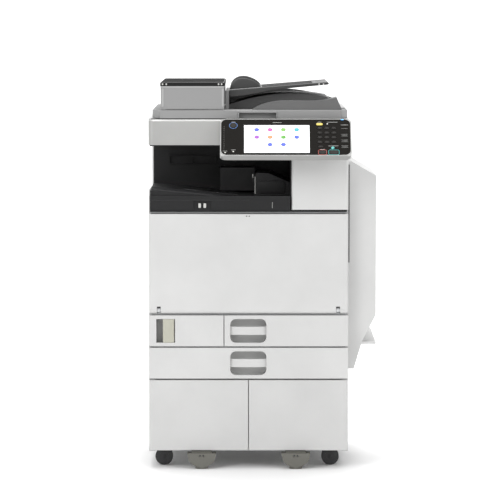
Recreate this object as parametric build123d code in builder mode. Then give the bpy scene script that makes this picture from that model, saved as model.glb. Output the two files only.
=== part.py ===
# Floor-standing A3 colour copier on a two-door cabinet with casters.
# Frame: X to the right, Y to the back, Z up, and the front faces -Y. The origin lies on the
# floor under the middle of the whole machine, side unit and control panel included.
# All sizes are in millimetres.
import os
from math import cos, radians, sin

from build123d import *

os.makedirs("parts", exist_ok=True)

# ---- Driving dimensions -------------------------------------------------------------------
# Overall plan
body_width = 587.0          # white body, without the side unit
side_unit_width = 83.0      # duplex door on the right
body_depth = 585.0
panel_overhang = 115.0      # control panel in front of the body

# Heights of the rows, from the floor up
ground_clearance = 51.0
cabinet_height = 213.0
tray_row_height = 95.5
engine_row_height = 299.0
groove_height = 10.0
band_height = 41.0
cavity_height = 149.0
scanner_height = 77.0

# Walls, gaps and fits
front_thickness = 20.0      # drawer fronts and doors
front_edge = 1.5            # rounding of their outer edges
cover_gap = 4.0             # open line between two fronts
cover_wall = 4.0            # outer covers
cabinet_wall = 12.0
shell = 3.0                 # thin mouldings
sheet = 3.0                 # steel frame plates
seat_gap = 0.3              # between a moving piece and what carries it
door_gap = 0.6              # behind a closed door or drawer front
pin_radius = 3.0
pin_clearance = 0.1         # radial, pin in its bore
pin_length = 9.0
ear_thickness = 1.7         # hinge plates in the gap lines

# Casters and feet
caster_height = 75.0        # floor to the underside of the cabinet floor
wheel_radius = 26.0
wheel_width = 9.0           # each disc of a twin wheel
caster_web = 7.0            # fork web between the two discs
caster_trail = 18.0
axle_radius = 4.0
stem_radius = 6.0
caster_left_x = -274.0      # swivel axes
caster_right_x = 183.0
caster_inset_y = 85.0       # from the front and the back of the body
foot_left_x = -179.5
foot_right_x = 98.0
foot_width = 85.0
foot_reach = 18.0           # in front of the body
foot_height = 46.0

# Drawers
tray_split = 221.5          # from the left of the body to the top drawer
tray_travel_room = 75.0     # free depth behind a drawer
handle_width = 108.0
handle_height = 72.0
handle_bar = 24.0
handle_depth = 44.0
handle_from_left = 293.0    # middle of both handles, from the left of the body
handle_radius = 18.0

# Main switch
switch_pocket_x = 50.0      # middle of the pocket, from the left of the body
switch_pocket_width = 55.0
switch_pocket_height = 70.0
switch_pocket_depth = 45.0
switch_cover_width = 31.0
switch_cover_wall = 4.0
rocker_width = 19.0
rocker_height = 38.0
rocker_depth = 10.0

# Output cavity
pillar_width = 167.0        # white column on the right
cavity_depth = 400.0
band_latch_width = 52.0
band_latch_left = 132.0     # from the left of the body

# Control panel
panel_left = 211.0          # from the left of the body
panel_width = 382.0
panel_tilt = 42.0           # face, from the vertical
panel_thickness = 28.0
panel_lip = 12.0
panel_face_inset = 7.0      # silver bezel beside the dark face
panel_corner = 20.0
screen_width = 190.0
screen_height = 104.0
screen_left = 70.0          # from the left of the panel
screen_top = 17.0           # from the top of the flat face
screen_thickness = 3.0
key_height = 5.0
key_travel = 1.5
key_proud = 1.8
key_clearance = 0.4

# Document feeder
adf_gap = 1.0
adf_base_height = 25.0
feeder_height = 81.0
feeder_width = 187.0
feeder_round = 9.0
feeder_corner = 4.5
adf_tray_wall = 10.0
guide_wall = 6.0
guide_spread = 304.0        # outside distance of the two side guides
feed_roller_radius = 12.0
feed_roller_length = 120.0

# Side unit
side_door_front = 50.0      # behind the front of the body
side_door_length = 435.0
side_hinge_round = 6.0
bypass_length = 320.0
bypass_height = 199.0
bypass_wall = 12.0

# Consumables
bottle_radius = 35.0
bottle_pitch = 100.0
bottle_length = 330.0
bottle_count = 4

# ---- Stations worked out from them --------------------------------------------------------
x_left = -(body_width + side_unit_width) / 2
x_right = x_left + body_width
x_unit = x_right + side_unit_width
y_front = -(body_depth + panel_overhang) / 2 + panel_overhang
y_back = y_front + body_depth
y_case = y_front + front_thickness + door_gap
z_cabinet = ground_clearance + cabinet_height
z_tray_1 = z_cabinet + tray_row_height
z_engine = z_tray_1 + tray_row_height
z_groove = z_engine + engine_row_height
z_band = z_groove + groove_height
z_ledge = z_band + band_height
z_scanner = z_ledge + cavity_height
z_glass = z_scanner + scanner_height
z_adf = z_glass + adf_gap
z_adf_top = z_adf + adf_base_height
x_frame_left = x_left + cover_wall + seat_gap
x_frame_right = x_right - cover_wall - seat_gap
y_frame_back = y_back - cover_wall - seat_gap
x_pillar = x_right - pillar_width
y_cavity = y_front + cavity_depth
half_gap = cover_gap / 2
hinge_radius = front_thickness / 2


def block(x0, x1, y0, y1, z0, z1, mode=Mode.ADD):
    """Add or cut a block given by its lowest and highest X, Y and Z."""
    with Locations(((x0 + x1) / 2, (y0 + y1) / 2, (z0 + z1) / 2)):
        Box(x1 - x0, y1 - y0, z1 - z0, mode=mode)


def rod(axis, x, y, z, radius, length, mode=Mode.ADD):
    """Add or cut a round bar along the named axis, with its middle at x, y, z."""
    turn = {"X": (0, 90, 0), "Y": (90, 0, 0), "Z": (0, 0, 0)}[axis]
    with Locations((x, y, z)):
        Cylinder(radius, length, rotation=turn, mode=mode)


def prism_along_y(points, y0, y1, mode=Mode.ADD):
    """Add or cut a prism whose outline is given by X, Z points and that runs from y0 to y1."""
    with BuildSketch(Plane.XZ.offset(-y0)) as outline:
        with BuildLine():
            Polyline(points, close=True)
        make_face()
    extrude(outline.sketch, amount=-(y1 - y0), mode=mode)


def save(part, name):
    """Label a finished piece and write its STEP file."""
    part.label = name
    export_step(part, f"parts/{name}.step")


# ---- Cabinet ------------------------------------------------------------------------------
x_middle = (x_left + x_right) / 2
door_hinge_left = (x_left + hinge_radius, y_front + hinge_radius)
door_hinge_right = (x_right - hinge_radius, y_front + hinge_radius)
caster_front_y = y_front + caster_inset_y
caster_rear_y = y_back - caster_inset_y
boss_radius = 14.0
boss_height = 9.0

with BuildPart() as cabinet_body:
    block(x_left, x_right, y_case, y_back, ground_clearance, z_cabinet)
    block(x_left + cabinet_wall, x_right - cabinet_wall, y_case, y_back - cabinet_wall,
          caster_height + cabinet_wall, z_cabinet - cabinet_wall, mode=Mode.SUBTRACT)
    block(x_left + cabinet_wall, x_right - cabinet_wall, y_case + cabinet_wall,
          y_back - cabinet_wall, ground_clearance, caster_height, mode=Mode.SUBTRACT)
    for x in (caster_left_x, caster_right_x):
        for y in (caster_front_y, caster_rear_y):
            rod("Z", x, y, caster_height - boss_height / 2, boss_radius, boss_height)
            rod("Z", x, y, caster_height - boss_height / 2, stem_radius + pin_clearance,
                boss_height, mode=Mode.SUBTRACT)
    for x, y in (door_hinge_left, door_hinge_right):
        for z0, pin_side in ((ground_clearance, 1), (z_cabinet - ear_thickness, -1)):
            block(x - hinge_radius + 1, x + hinge_radius - 1, y - pin_radius - 1, y_case + 4,
                  z0, z0 + ear_thickness)
            rod("Z", x, y, z0 + ear_thickness / 2 + pin_side * pin_length / 2, pin_radius,
                pin_length)
save(cabinet_body.part, "cabinet_body")


def cabinet_door(hinge, x_free):
    """Door from its round hinge edge to the edge at x_free, with a pin bore at each end."""
    x, y = hinge
    z0 = ground_clearance + half_gap + seat_gap
    z1 = z_cabinet - half_gap - seat_gap
    with BuildPart() as door:
        block(min(x, x_free), max(x, x_free), y_front, y_front + front_thickness, z0, z1)
        rod("Z", x, y, (z0 + z1) / 2, hinge_radius, z1 - z0)
        rims = door.edges().group_by(Axis.Z)
        free_edge = door.edges().filter_by(Axis.Z).filter_by(
            lambda edge: edge.center().Y < y_front + 1 and abs(edge.center().X - x_free) < 1)
        fillet(rims[0] + rims[-1] + free_edge, front_edge)
        bore = pin_length + 1
        for z in (z0 + bore / 2, z1 - bore / 2):
            rod("Z", x, y, z, pin_radius + pin_clearance, bore, mode=Mode.SUBTRACT)
    return door.part


door_line = cover_gap / 2 / 2
save(cabinet_door(door_hinge_left, x_middle - door_line), "cabinet_door_left")
save(cabinet_door(door_hinge_right, x_middle + door_line), "cabinet_door_right")


# ---- Casters ------------------------------------------------------------------------------
def caster_fork(x, y, side):
    """Web between the twin wheels, crown and swivel stem; side is the way it trails in X."""
    wheel_x = x + side * caster_trail
    crown_z = 2 * wheel_radius + 2
    crown_top = caster_height - boss_height - seat_gap
    with BuildPart() as fork:
        block(min(x, wheel_x) - 6, max(x, wheel_x) + 6, y - caster_web / 2, y + caster_web / 2,
              wheel_radius - 6, crown_z + 2)
        rod("Z", x, y, (crown_z + crown_top) / 2, boss_radius, crown_top - crown_z)
        rod("Z", x, y, (crown_top + caster_height) / 2 - 1, stem_radius,
            caster_height - crown_top)
        rod("Y", wheel_x, y, wheel_radius, axle_radius + pin_clearance, caster_web,
            mode=Mode.SUBTRACT)
    return fork.part


def caster_wheel(x, y, side):
    """Two discs with round edges on one axle that runs through the fork's web."""
    wheel_x = x + side * caster_trail
    inner = caster_web / 2 + seat_gap
    with BuildPart() as wheel:
        for way in (-1, 1):
            rod("Y", wheel_x, y + way * (inner + wheel_width / 2), wheel_radius, wheel_radius,
                wheel_width)
        fillet(wheel.edges().filter_by(GeomType.CIRCLE), 2.5)
        rod("Y", wheel_x, y, wheel_radius, axle_radius, 2 * inner + 2)
    return wheel.part


save(caster_fork(caster_left_x, caster_front_y, -1), "caster_fork_left")
save(caster_fork(caster_right_x, caster_front_y, 1), "caster_fork_right")
rear_forks = [caster_fork(caster_left_x, caster_rear_y, -1),
              caster_fork(caster_right_x, caster_rear_y, 1)]
save(Compound(children=rear_forks), "rear_caster_forks")
wheel_places = {"front_left": (caster_left_x, caster_front_y, -1),
                "front_right": (caster_right_x, caster_front_y, 1),
                "rear_left": (caster_left_x, caster_rear_y, -1),
                "rear_right": (caster_right_x, caster_rear_y, 1)}
for corner, place in wheel_places.items():
    save(caster_wheel(*place), f"caster_wheel_{corner}")


# ---- Stabiliser feet ----------------------------------------------------------------------
def stabiliser_foot(x):
    """Shield-shaped foot on a round pad, with an arm under the cabinet's front edge."""
    half = foot_width / 2
    pad_height = 5.0
    with BuildPart() as foot:
        with BuildSketch(Plane.XZ.offset(foot_reach - y_front)):
            with BuildLine():
                Line((x - half, foot_height), (x + half, foot_height))
                Line((x + half, foot_height), (x + half - 5, foot_height - 22))
                ThreePointArc((x + half - 5, foot_height - 22), (x, pad_height),
                              (x - half + 5, foot_height - 22))
                Line((x - half + 5, foot_height - 22), (x - half, foot_height))
            make_face()
        extrude(amount=-(foot_reach + 30))
        block(x - 30, x + 30, y_front, y_case + 40, foot_height - 8,
              ground_clearance - seat_gap)
        rod("Z", x, y_front + 2, pad_height / 2 + 0.5, 19, pad_height + 1)
        for hole_x in (x - 6, x + 6):
            rod("Y", hole_x, y_front - foot_reach, foot_height - 8, 2.2, 8,
                mode=Mode.SUBTRACT)
    return foot.part


feet = [stabiliser_foot(foot_left_x), stabiliser_foot(foot_right_x)]
save(Compound(children=feet), "stabiliser_feet")


# ---- Steel frame --------------------------------------------------------------------------
x_inner_left = x_frame_left + sheet
x_inner_right = x_frame_right - sheet
y_inner_back = y_frame_back - sheet
y_toner_plate = y_case + 25
toner_plate_bottom = z_groove - 115
bottle_z = z_groove - 58
bottle_first_x = x_inner_left + 78
rail_z = z_engine + 96
rail_wall = 8.0
post_inset = 5.0            # front-right post behind the pillar's white face
front_door_bottom = z_engine + half_gap + 1
front_axis = (y_front + hinge_radius, front_door_bottom + hinge_radius)
front_hinges = (x_left + 30, x_right - 30)
hinge_eye = 9.0

with BuildPart() as main_frame:
    block(x_frame_left, x_inner_left, y_case, y_frame_back, z_cabinet, z_groove + sheet)
    block(x_frame_left, x_inner_left, y_cavity + shell + seat_gap, y_frame_back, z_cabinet,
          z_scanner)
    block(x_inner_right, x_frame_right, y_case, y_frame_back, z_cabinet, z_scanner)
    block(x_frame_left, x_frame_right, y_inner_back, y_frame_back, z_cabinet, z_scanner)
    block(x_frame_left, x_frame_right, y_case, y_frame_back, z_cabinet, z_cabinet + sheet)
    for z in (z_tray_1, z_engine):
        block(x_frame_left, x_frame_right, y_case, y_frame_back, z - sheet / 2, z + sheet / 2)
    block(x_frame_left, x_frame_right, y_case, y_frame_back, z_groove, z_groove + sheet)
    block(x_frame_left, x_frame_right, y_cavity + shell + seat_gap, y_frame_back,
          z_scanner - sheet, z_scanner)
    block(x_pillar + post_inset, x_pillar + post_inset + sheet, y_case, y_cavity, z_groove,
          z_scanner)
    block(x_frame_left, x_frame_right, y_toner_plate, y_toner_plate + sheet,
          toner_plate_bottom, z_groove)
    for number in range(bottle_count):
        rod("Y", bottle_first_x + number * bottle_pitch, y_toner_plate + sheet / 2, bottle_z,
            bottle_radius + seat_gap, sheet, mode=Mode.SUBTRACT)
    for y in (y_front + 90, y_front + 380):
        block(x_frame_left, x_frame_right, y, y + rail_wall, rail_z - rail_wall, rail_z)
    for x in front_hinges:
        rod("X", x, *front_axis, hinge_radius - 2, hinge_eye)
        block(x - hinge_eye / 2, x + hinge_eye / 2, front_axis[0], y_case,
              front_axis[1] - hinge_radius + 2, front_axis[1] + hinge_radius - 2)
        block(x - hinge_eye / 2, x + hinge_eye / 2, y_case, y_case + 6, z_engine,
              front_axis[1] + hinge_radius - 2)
        rod("X", x, *front_axis, pin_radius, 2 * pin_length)
save(main_frame.part, "main_frame")

# ---- Outer covers -------------------------------------------------------------------------
cover_bottom = z_cabinet
z_left_edge = z_ledge + 17   # left cover beside the output tray

with BuildPart() as left_cover:
    with BuildSketch(Plane.YZ.offset(x_left)):
        with BuildLine():
            Polyline((y_case, cover_bottom), (y_back - cover_wall, cover_bottom),
                     (y_back - cover_wall, z_scanner), (y_cavity, z_scanner),
                     (y_cavity, z_left_edge - 8), (y_front + 60, z_left_edge),
                     (y_case, z_ledge), close=True)
        make_face()
    extrude(amount=cover_wall)
save(left_cover.part, "left_cover")

slot_width, slot_height = 22.0, 6.0
slot_areas = ((x_left + 190, z_engine + 160, 8), (x_right - 170, z_scanner - 70, 5))
with BuildPart() as rear_cover:
    block(x_left, x_right, y_back - cover_wall, y_back, cover_bottom, z_scanner)
    for area_x, area_z, rows in slot_areas:
        with Locations(Location((area_x, y_back - cover_wall / 2, area_z), (90, 0, 0))):
            with GridLocations(slot_width + 6, slot_height + 7, 9, rows):
                Box(slot_width, slot_height, cover_wall, mode=Mode.SUBTRACT)
save(rear_cover.part, "rear_cover")

side_axis_x = x_right + door_gap + side_hinge_round
side_axis_y = y_front + side_door_front + side_door_length - side_hinge_round
side_top = z_scanner - 50
side_bottom = z_cabinet + 26
side_shoulder = z_scanner - 92
side_ear = 4.0
side_pin_radius = 2.5
pillar_radius = 8.0

with BuildPart() as right_cover:
    block(x_right - cover_wall, x_right, y_case, y_back - cover_wall, cover_bottom, z_scanner)
    block(x_pillar, x_right, y_front, y_cavity, z_band + seat_gap, z_scanner)
    front_edges = right_cover.edges().filter_by(Axis.Z).filter_by(
        lambda edge: edge.center().Y < y_front + 1)
    fillet(front_edges, pillar_radius)
    block(x_pillar + shell, x_right - cover_wall, y_front + shell, y_cavity, z_band,
          z_scanner, mode=Mode.SUBTRACT)
    for z0 in (side_top + seat_gap, side_bottom - seat_gap - side_ear):
        block(x_right - 1, side_axis_x + side_hinge_round, side_axis_y - side_hinge_round,
              side_axis_y + side_hinge_round, z0, z0 + side_ear)
    for z in (side_top - pin_length / 2 + 1, side_bottom + pin_length / 2 - 1):
        rod("Z", side_axis_x, side_axis_y, z, side_pin_radius, pin_length + 2)
save(right_cover.part, "right_cover")

# ---- Front door ---------------------------------------------------------------------------
door_edge_radius = 9.0
door_top_radius = 2.5
with BuildPart() as front_door:
    block(x_left, x_right, y_front, y_front + front_thickness, front_axis[1],
          z_groove - half_gap)
    rod("X", x_middle, *front_axis, hinge_radius, body_width)
    front_edges = front_door.edges().filter_by(Axis.Z).filter_by(
        lambda edge: edge.center().Y < y_front + 1)
    fillet(front_edges, door_edge_radius)
    top_rim = front_door.edges().group_by(Axis.Z)[-1].filter_by(
        lambda edge: edge.center().Y < y_front + door_edge_radius)
    fillet(top_rim, door_top_radius)
    for x in front_hinges:
        block(x - hinge_eye / 2 - 1, x + hinge_eye / 2 + 1, y_front, y_front + front_thickness,
              front_door_bottom, front_axis[1] + hinge_radius + 1, mode=Mode.SUBTRACT)
        rod("X", x, *front_axis, pin_radius + pin_clearance, 2 * pin_length + 4,
            mode=Mode.SUBTRACT)
save(front_door.part, "front_door")


# ---- Drawers ------------------------------------------------------------------------------
handle_x = x_left + handle_from_left
drawer_wall = 3.0
drawer_back = y_back - tray_travel_room


def drawer(x0, x1, box_x0, box_x1, z0, z1, floor_z):
    """Drawer front from x0 to x1 with a hand recess and bowed bar, and its open paper box."""
    handle_z = (z0 + z1) / 2
    half_w, half_h = handle_width / 2, handle_height / 2
    collar = 8.0
    y_box = y_front + handle_depth + 4
    wall_top = z1 - 14
    with BuildPart() as tray:
        block(x0, x1, y_front, y_front + front_thickness, z0 + half_gap, z1 - half_gap)
        fillet(tray.faces().sort_by(Axis.Y)[0].edges(), front_edge)
        block(handle_x - half_w - collar, handle_x + half_w + collar, y_front + 1, y_box,
              handle_z - half_h - 4, handle_z + half_h + 4)
        block(box_x0, box_x1, y_box, drawer_back, floor_z, wall_top)
        block(box_x0 + drawer_wall, box_x1 - drawer_wall, y_box + drawer_wall,
              drawer_back - drawer_wall, floor_z + drawer_wall, wall_top, mode=Mode.SUBTRACT)
        block(box_x0, box_x1, y_front + 4, y_box + drawer_wall, floor_z, floor_z + 8)
        with BuildSketch(Plane.XZ.offset(-y_front)):
            with Locations((handle_x, handle_z)):
                RectangleRounded(handle_width, handle_height, handle_radius)
        extrude(amount=-handle_depth, mode=Mode.SUBTRACT)
        with BuildSketch(Plane.XY.offset(handle_z - handle_bar / 2)):
            with BuildLine():
                left, right = handle_x - half_w - 1, handle_x + half_w + 1
                ThreePointArc((left, y_front + 9), (handle_x, y_front + 1.5),
                              (right, y_front + 9))
                Line((right, y_front + 9), (right, y_front + 16))
                ThreePointArc((right, y_front + 16), (handle_x, y_front + 8.5),
                              (left, y_front + 16))
                Line((left, y_front + 16), (left, y_front + 9))
            make_face()
        extrude(amount=handle_bar)
    return tray.part


x_split = x_left + tray_split
save(drawer(x_split + half_gap / 2, x_right, x_split + 10, x_inner_right - 6, z_tray_1,
            z_engine, z_tray_1 + sheet / 2 + seat_gap), "paper_tray_1")
save(drawer(x_left, x_right, x_inner_left + 6, x_inner_right - 6, z_cabinet, z_tray_1,
            z_cabinet + sheet + seat_gap), "paper_tray_2")

# ---- Main switch --------------------------------------------------------------------------
switch_x = x_left + switch_pocket_x
switch_z = (z_tray_1 + z_engine) / 2
pocket_x0 = switch_x - switch_pocket_width / 2
pocket_x1 = switch_x + switch_pocket_width / 2
pocket_z0 = switch_z - switch_pocket_height / 2
pocket_z1 = switch_z + switch_pocket_height / 2
flap_radius = switch_cover_wall / 2
flap_axis = (pocket_x1 - flap_radius - 2.5, y_front + flap_radius + 1)
rocker_x = flap_axis[0] - switch_cover_width / 2
rocker_y = y_front + 30
switch_ear = 2.5
rocker_pin = 2.0
flap_pin = 1.0

with BuildPart() as switch_panel:
    block(x_left, x_split - half_gap / 2, y_front, y_front + front_thickness,
          z_tray_1 + half_gap, z_engine - half_gap)
    fillet(switch_panel.faces().sort_by(Axis.Y)[0].edges(), front_edge)
    block(pocket_x0 - 4, pocket_x1 + 4, y_front + 1, y_front + switch_pocket_depth + 4,
          pocket_z0 - 4, pocket_z1 + 4)
    block(pocket_x0, pocket_x1, y_front, y_front + switch_pocket_depth, pocket_z0, pocket_z1,
          mode=Mode.SUBTRACT)
    for side in (-1, 1):
        x = rocker_x + side * (rocker_width / 2 + seat_gap + switch_ear / 2)
        block(x - switch_ear / 2, x + switch_ear / 2, rocker_y - 4,
              y_front + switch_pocket_depth, switch_z - 6, switch_z + 6)
    rod("X", rocker_x, rocker_y, switch_z, rocker_pin, rocker_width + 2 * switch_ear)
    for z in (pocket_z0, pocket_z1):
        rod("Z", *flap_axis, z, flap_pin, 5)
save(switch_panel.part, "switch_panel")

with BuildPart() as power_switch:
    with BuildSketch(Plane.YZ.offset(rocker_x - rocker_width / 2)):
        with BuildLine():
            front, back, half = rocker_y - rocker_depth / 2, rocker_y + 5, rocker_height / 2
            Polyline((front - 2, switch_z + half), (front + 1, switch_z),
                     (front - 2, switch_z - half), (back, switch_z - half + 8),
                     (back, switch_z + half - 8), close=True)
        make_face()
    extrude(amount=rocker_width)
    rod("X", rocker_x, rocker_y, switch_z, rocker_pin + pin_clearance, rocker_width,
        mode=Mode.SUBTRACT)
save(power_switch.part, "power_switch")

with BuildPart() as switch_cover:
    flap_z0, flap_z1 = pocket_z0 + 0.5, pocket_z1 - 0.5
    block(flap_axis[0] - switch_cover_width, flap_axis[0], flap_axis[1] - flap_radius,
          flap_axis[1] + flap_radius, flap_z0, flap_z1)
    rod("Z", *flap_axis, switch_z, flap_radius, flap_z1 - flap_z0)
    for z in (flap_z0, flap_z1):
        rod("Z", *flap_axis, z, flap_pin + pin_clearance, 6, mode=Mode.SUBTRACT)
save(switch_cover.part, "switch_cover")

# ---- Duplex door on the right and its bypass tray -----------------------------------------
side_wall = 8.0
side_y0 = y_front + side_door_front
side_y1 = side_y0 + side_door_length
bypass_z0 = z_engine + 25
bypass_y0 = side_y0 + (side_door_length - bypass_length) / 2
bypass_radius = bypass_wall / 2
bypass_gap = 1.0
bypass_axis = (x_unit - bypass_radius - 0.5, bypass_z0 + bypass_gap + bypass_radius)
bypass_pocket_x = bypass_axis[0] - bypass_radius - bypass_gap
ledge_z = z_tray_1 + 3.5

with BuildPart() as side_door:
    prism_along_y([(x_right + door_gap, side_top), (x_right + 10, side_top),
                   (x_unit, side_shoulder), (x_unit, z_engine - 5),
                   (x_unit - 41, z_tray_1 + 10.5), (x_right + 18, side_bottom),
                   (x_right + door_gap, side_bottom)], side_y0, side_y1)
    hinge_edge = side_door.edges().filter_by(Axis.Z).filter_by(
        lambda edge: edge.center().Y > side_y1 - 1 and edge.center().X < x_right + 2)
    fillet(hinge_edge, side_hinge_round)
    prism_along_y([(x_right + door_gap, side_top - 20), (x_unit - 30, side_shoulder - 20),
                   (x_unit - 30, z_engine + 5), (x_right + door_gap, z_engine - 20)],
                  side_y0 + side_wall, side_y1 - 20, mode=Mode.SUBTRACT)
    block(x_unit - 46, x_unit, side_y0, side_y1, ledge_z, ledge_z + 7)
    block(bypass_pocket_x, x_unit + 1, bypass_y0, bypass_y0 + bypass_length, bypass_z0,
          bypass_z0 + bypass_height + 2 * bypass_gap, mode=Mode.SUBTRACT)
    for y in (bypass_y0, bypass_y0 + bypass_length):
        rod("Y", bypass_axis[0], y, bypass_axis[1], side_pin_radius, 2 * pin_length - 6)
    for z in (side_top, side_bottom):
        rod("Z", side_axis_x, side_axis_y, z, side_pin_radius + pin_clearance,
            2 * pin_length + 2, mode=Mode.SUBTRACT)
save(side_door.part, "side_door")

with BuildPart() as bypass_tray:
    y0, y1 = bypass_y0 + 0.5, bypass_y0 + bypass_length - 0.5
    block(bypass_axis[0] - bypass_radius, bypass_axis[0] + bypass_radius, y0, y1,
          bypass_axis[1], bypass_z0 + bypass_gap + bypass_height)
    rod("Y", bypass_axis[0], (y0 + y1) / 2, bypass_axis[1], bypass_radius, y1 - y0)
    for y in (y0, y1):
        rod("Y", bypass_axis[0], y, bypass_axis[1], side_pin_radius + pin_clearance,
            2 * pin_length - 4, mode=Mode.SUBTRACT)
save(bypass_tray.part, "bypass_tray")

# ---- Output cavity ------------------------------------------------------------------------
x_tray_left = x_left + cover_wall + seat_gap
x_liner = x_pillar - seat_gap
tray_low = z_band + 22        # top of the paper rest under the exit
tray_high = z_ledge + 16      # and at its left end
tray_bend = (x_tray_left + 150, z_ledge + 2)
exit_x0 = x_pillar - 108.0
exit_back_x0 = x_pillar - 212.0
slot_x0, slot_x1 = x_left + 54, x_left + 192

with BuildPart() as cavity_liner:
    block(x_tray_left, x_liner, y_cavity, y_cavity + shell, z_groove + sheet + seat_gap,
          z_scanner - seat_gap)
    block(x_liner - shell, x_liner, y_front + 12, y_cavity, tray_low + 10,
          z_scanner - seat_gap)
    block(x_tray_left, x_liner, y_front + 4, y_cavity, z_scanner - seat_gap - shell,
          z_scanner - seat_gap)
    block(slot_x0 - 3, slot_x1 + 3, y_cavity - 9, y_cavity, z_scanner - 76, z_scanner - 48)
    for x0, x1 in ((slot_x0, (slot_x0 + slot_x1) / 2 - 4), ((slot_x0 + slot_x1) / 2, slot_x1)):
        block(x0, x1, y_cavity - 9, y_cavity - 1, z_scanner - 73, z_scanner - 51,
              mode=Mode.SUBTRACT)
save(cavity_liner.part, "cavity_liner")

with BuildPart() as exit_unit:
    x1 = x_liner - shell - seat_gap
    prism_along_y([(exit_x0, z_ledge - 8), (x1, z_ledge - 8), (x1, z_ledge + 30),
                   (exit_x0 + 42, z_ledge + 57), (exit_x0 + 8, z_ledge + 59),
                   (exit_x0, z_ledge + 50)], y_front + 175, y_cavity - 0.3)
    block(exit_back_x0, exit_x0, y_front + 295, y_cavity - seat_gap, z_ledge - 1, z_ledge + 68)
    rod("Y", exit_x0 - 1, y_front + 235, z_ledge + 36, 7, 90)
save(exit_unit.part, "exit_unit")

with BuildPart() as output_tray:
    z0, x1 = z_groove + sheet + seat_gap, x_liner - shell - seat_gap
    y1 = y_cavity - seat_gap
    rest = [(x_tray_left, tray_high), tray_bend, (x_tray_left + 265, tray_low + 9),
            (x1, tray_low)]
    lower = [(x, z - shell) for x, z in reversed(rest)]
    prism_along_y(rest + lower, y_front + 10, y1)
    prism_along_y([(x_tray_left, z0), (x_tray_left, tray_high), tray_bend,
                   (x_tray_left + 150, z_ledge), (x1, z_ledge), (x1, z0)],
                  y_front + 6, y_front + 14)
    block(x_tray_left, x1, y_front, y_front + 8, z_band, z_ledge)
    block(x_tray_left, x_frame_right, y_front + 8, y_front + 14, z0, z_band)
    block(x_tray_left, x_tray_left + shell, y_front + 8, y1, z0, tray_high - 3)
    block(x1 - shell, x1, y_front + 8, y1, z0, tray_low)
    latch_x0 = x_left + band_latch_left
    block(latch_x0, latch_x0 + band_latch_width, y_front, y_front + 6, z_band,
          z_band + 26, mode=Mode.SUBTRACT)
    for x in (latch_x0 + 14, latch_x0 + 29):
        block(x, x + 8, y_front + 1, y_front + 6, z_band + 5, z_band + 19)
    for number in range(4):
        x = x_tray_left + 175 + number * 24
        z = tray_low + 10 + (3 - number) * 4
        block(x, x + 3, y_front + 30, y_front + 285, z - 14, z + 3)
save(output_tray.part, "output_tray")

# ---- Scanner ------------------------------------------------------------------------------
front_cover_depth = 20.0
y_scan = y_front + front_cover_depth + seat_gap
glass_wall = 4.0
glass_margin = 45.0
scan_wall = 4.0
glass_x0, glass_x1 = x_left + 60, x_right - 60
glass_y0, glass_y1 = y_scan + glass_margin, y_scan + glass_margin + 307
adf_hinges = (x_left + 135, x_right - 100)
adf_axis = (y_back - 9, z_adf + 12)
adf_eye = 8.0
hinge_post = 34.0
rail_radius = 4.0
rail_y = (glass_y0 + glass_y1) / 2
rail_height = z_scanner + 22

with BuildPart() as scanner_housing:
    block(x_left, x_right, y_scan, y_back, z_scanner, z_glass)
    block(x_left + scan_wall, x_right - scan_wall, y_scan + scan_wall, y_back - scan_wall,
          z_scanner + scan_wall, z_glass - scan_wall, mode=Mode.SUBTRACT)
    block(glass_x0 + 6, glass_x1 - 6, glass_y0 + 6, glass_y1 - 6, z_glass - scan_wall - 1,
          z_glass, mode=Mode.SUBTRACT)
    block(glass_x0, glass_x1, glass_y0, glass_y1, z_glass - scan_wall / 2, z_glass,
          mode=Mode.SUBTRACT)
    rod("X", x_middle, rail_y, rail_height, rail_radius, body_width - 2 * scan_wall + 2)
    for x in adf_hinges:
        block(x - hinge_post / 2, x + hinge_post / 2, adf_axis[0] - adf_eye, adf_axis[0] + adf_eye,
              z_glass - 1, adf_axis[1])
        rod("X", x, *adf_axis, adf_eye, hinge_post)
        rod("X", x, *adf_axis, rail_radius, hinge_post + 2 * pin_length)
save(scanner_housing.part, "scanner_housing")

with BuildPart() as platen_glass:
    block(glass_x0 + seat_gap, glass_x1 - seat_gap, glass_y0 + seat_gap, glass_y1 - seat_gap,
          z_glass - scan_wall / 2, z_glass)
save(platen_glass.part, "platen_glass")

with BuildPart() as scanner_front_cover:
    block(x_left, x_right, y_front, y_front + front_cover_depth, z_scanner, z_glass - 2)
    corners = scanner_front_cover.edges().filter_by(Axis.Z).filter_by(
        lambda edge: edge.center().Y < y_front + 1)
    fillet(corners, 14)
    top_edge = scanner_front_cover.edges().filter_by(Axis.X).group_by(Axis.Z)[-1].sort_by(
        Axis.Y)[0]
    chamfer(top_edge, 5)
save(scanner_front_cover.part, "scanner_front_cover")

carriage_length = 330.0
carriage_width = 60.0
carriage_x = glass_x0 + 45
with BuildPart() as scanner_carriage:
    y0 = rail_y - carriage_length / 2
    block(carriage_x - carriage_width / 2, carriage_x + carriage_width / 2, y0,
          y0 + carriage_length, z_scanner + scan_wall + 8, z_glass - scan_wall - 10)
    block(carriage_x - 10, carriage_x + 10, y0 + 12, y0 + carriage_length - 12,
          z_glass - scan_wall - 18, z_glass - scan_wall - 10, mode=Mode.SUBTRACT)
    rod("X", carriage_x, rail_y, rail_height, rail_radius + seat_gap, carriage_width,
        mode=Mode.SUBTRACT)
save(scanner_carriage.part, "scanner_carriage")

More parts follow.
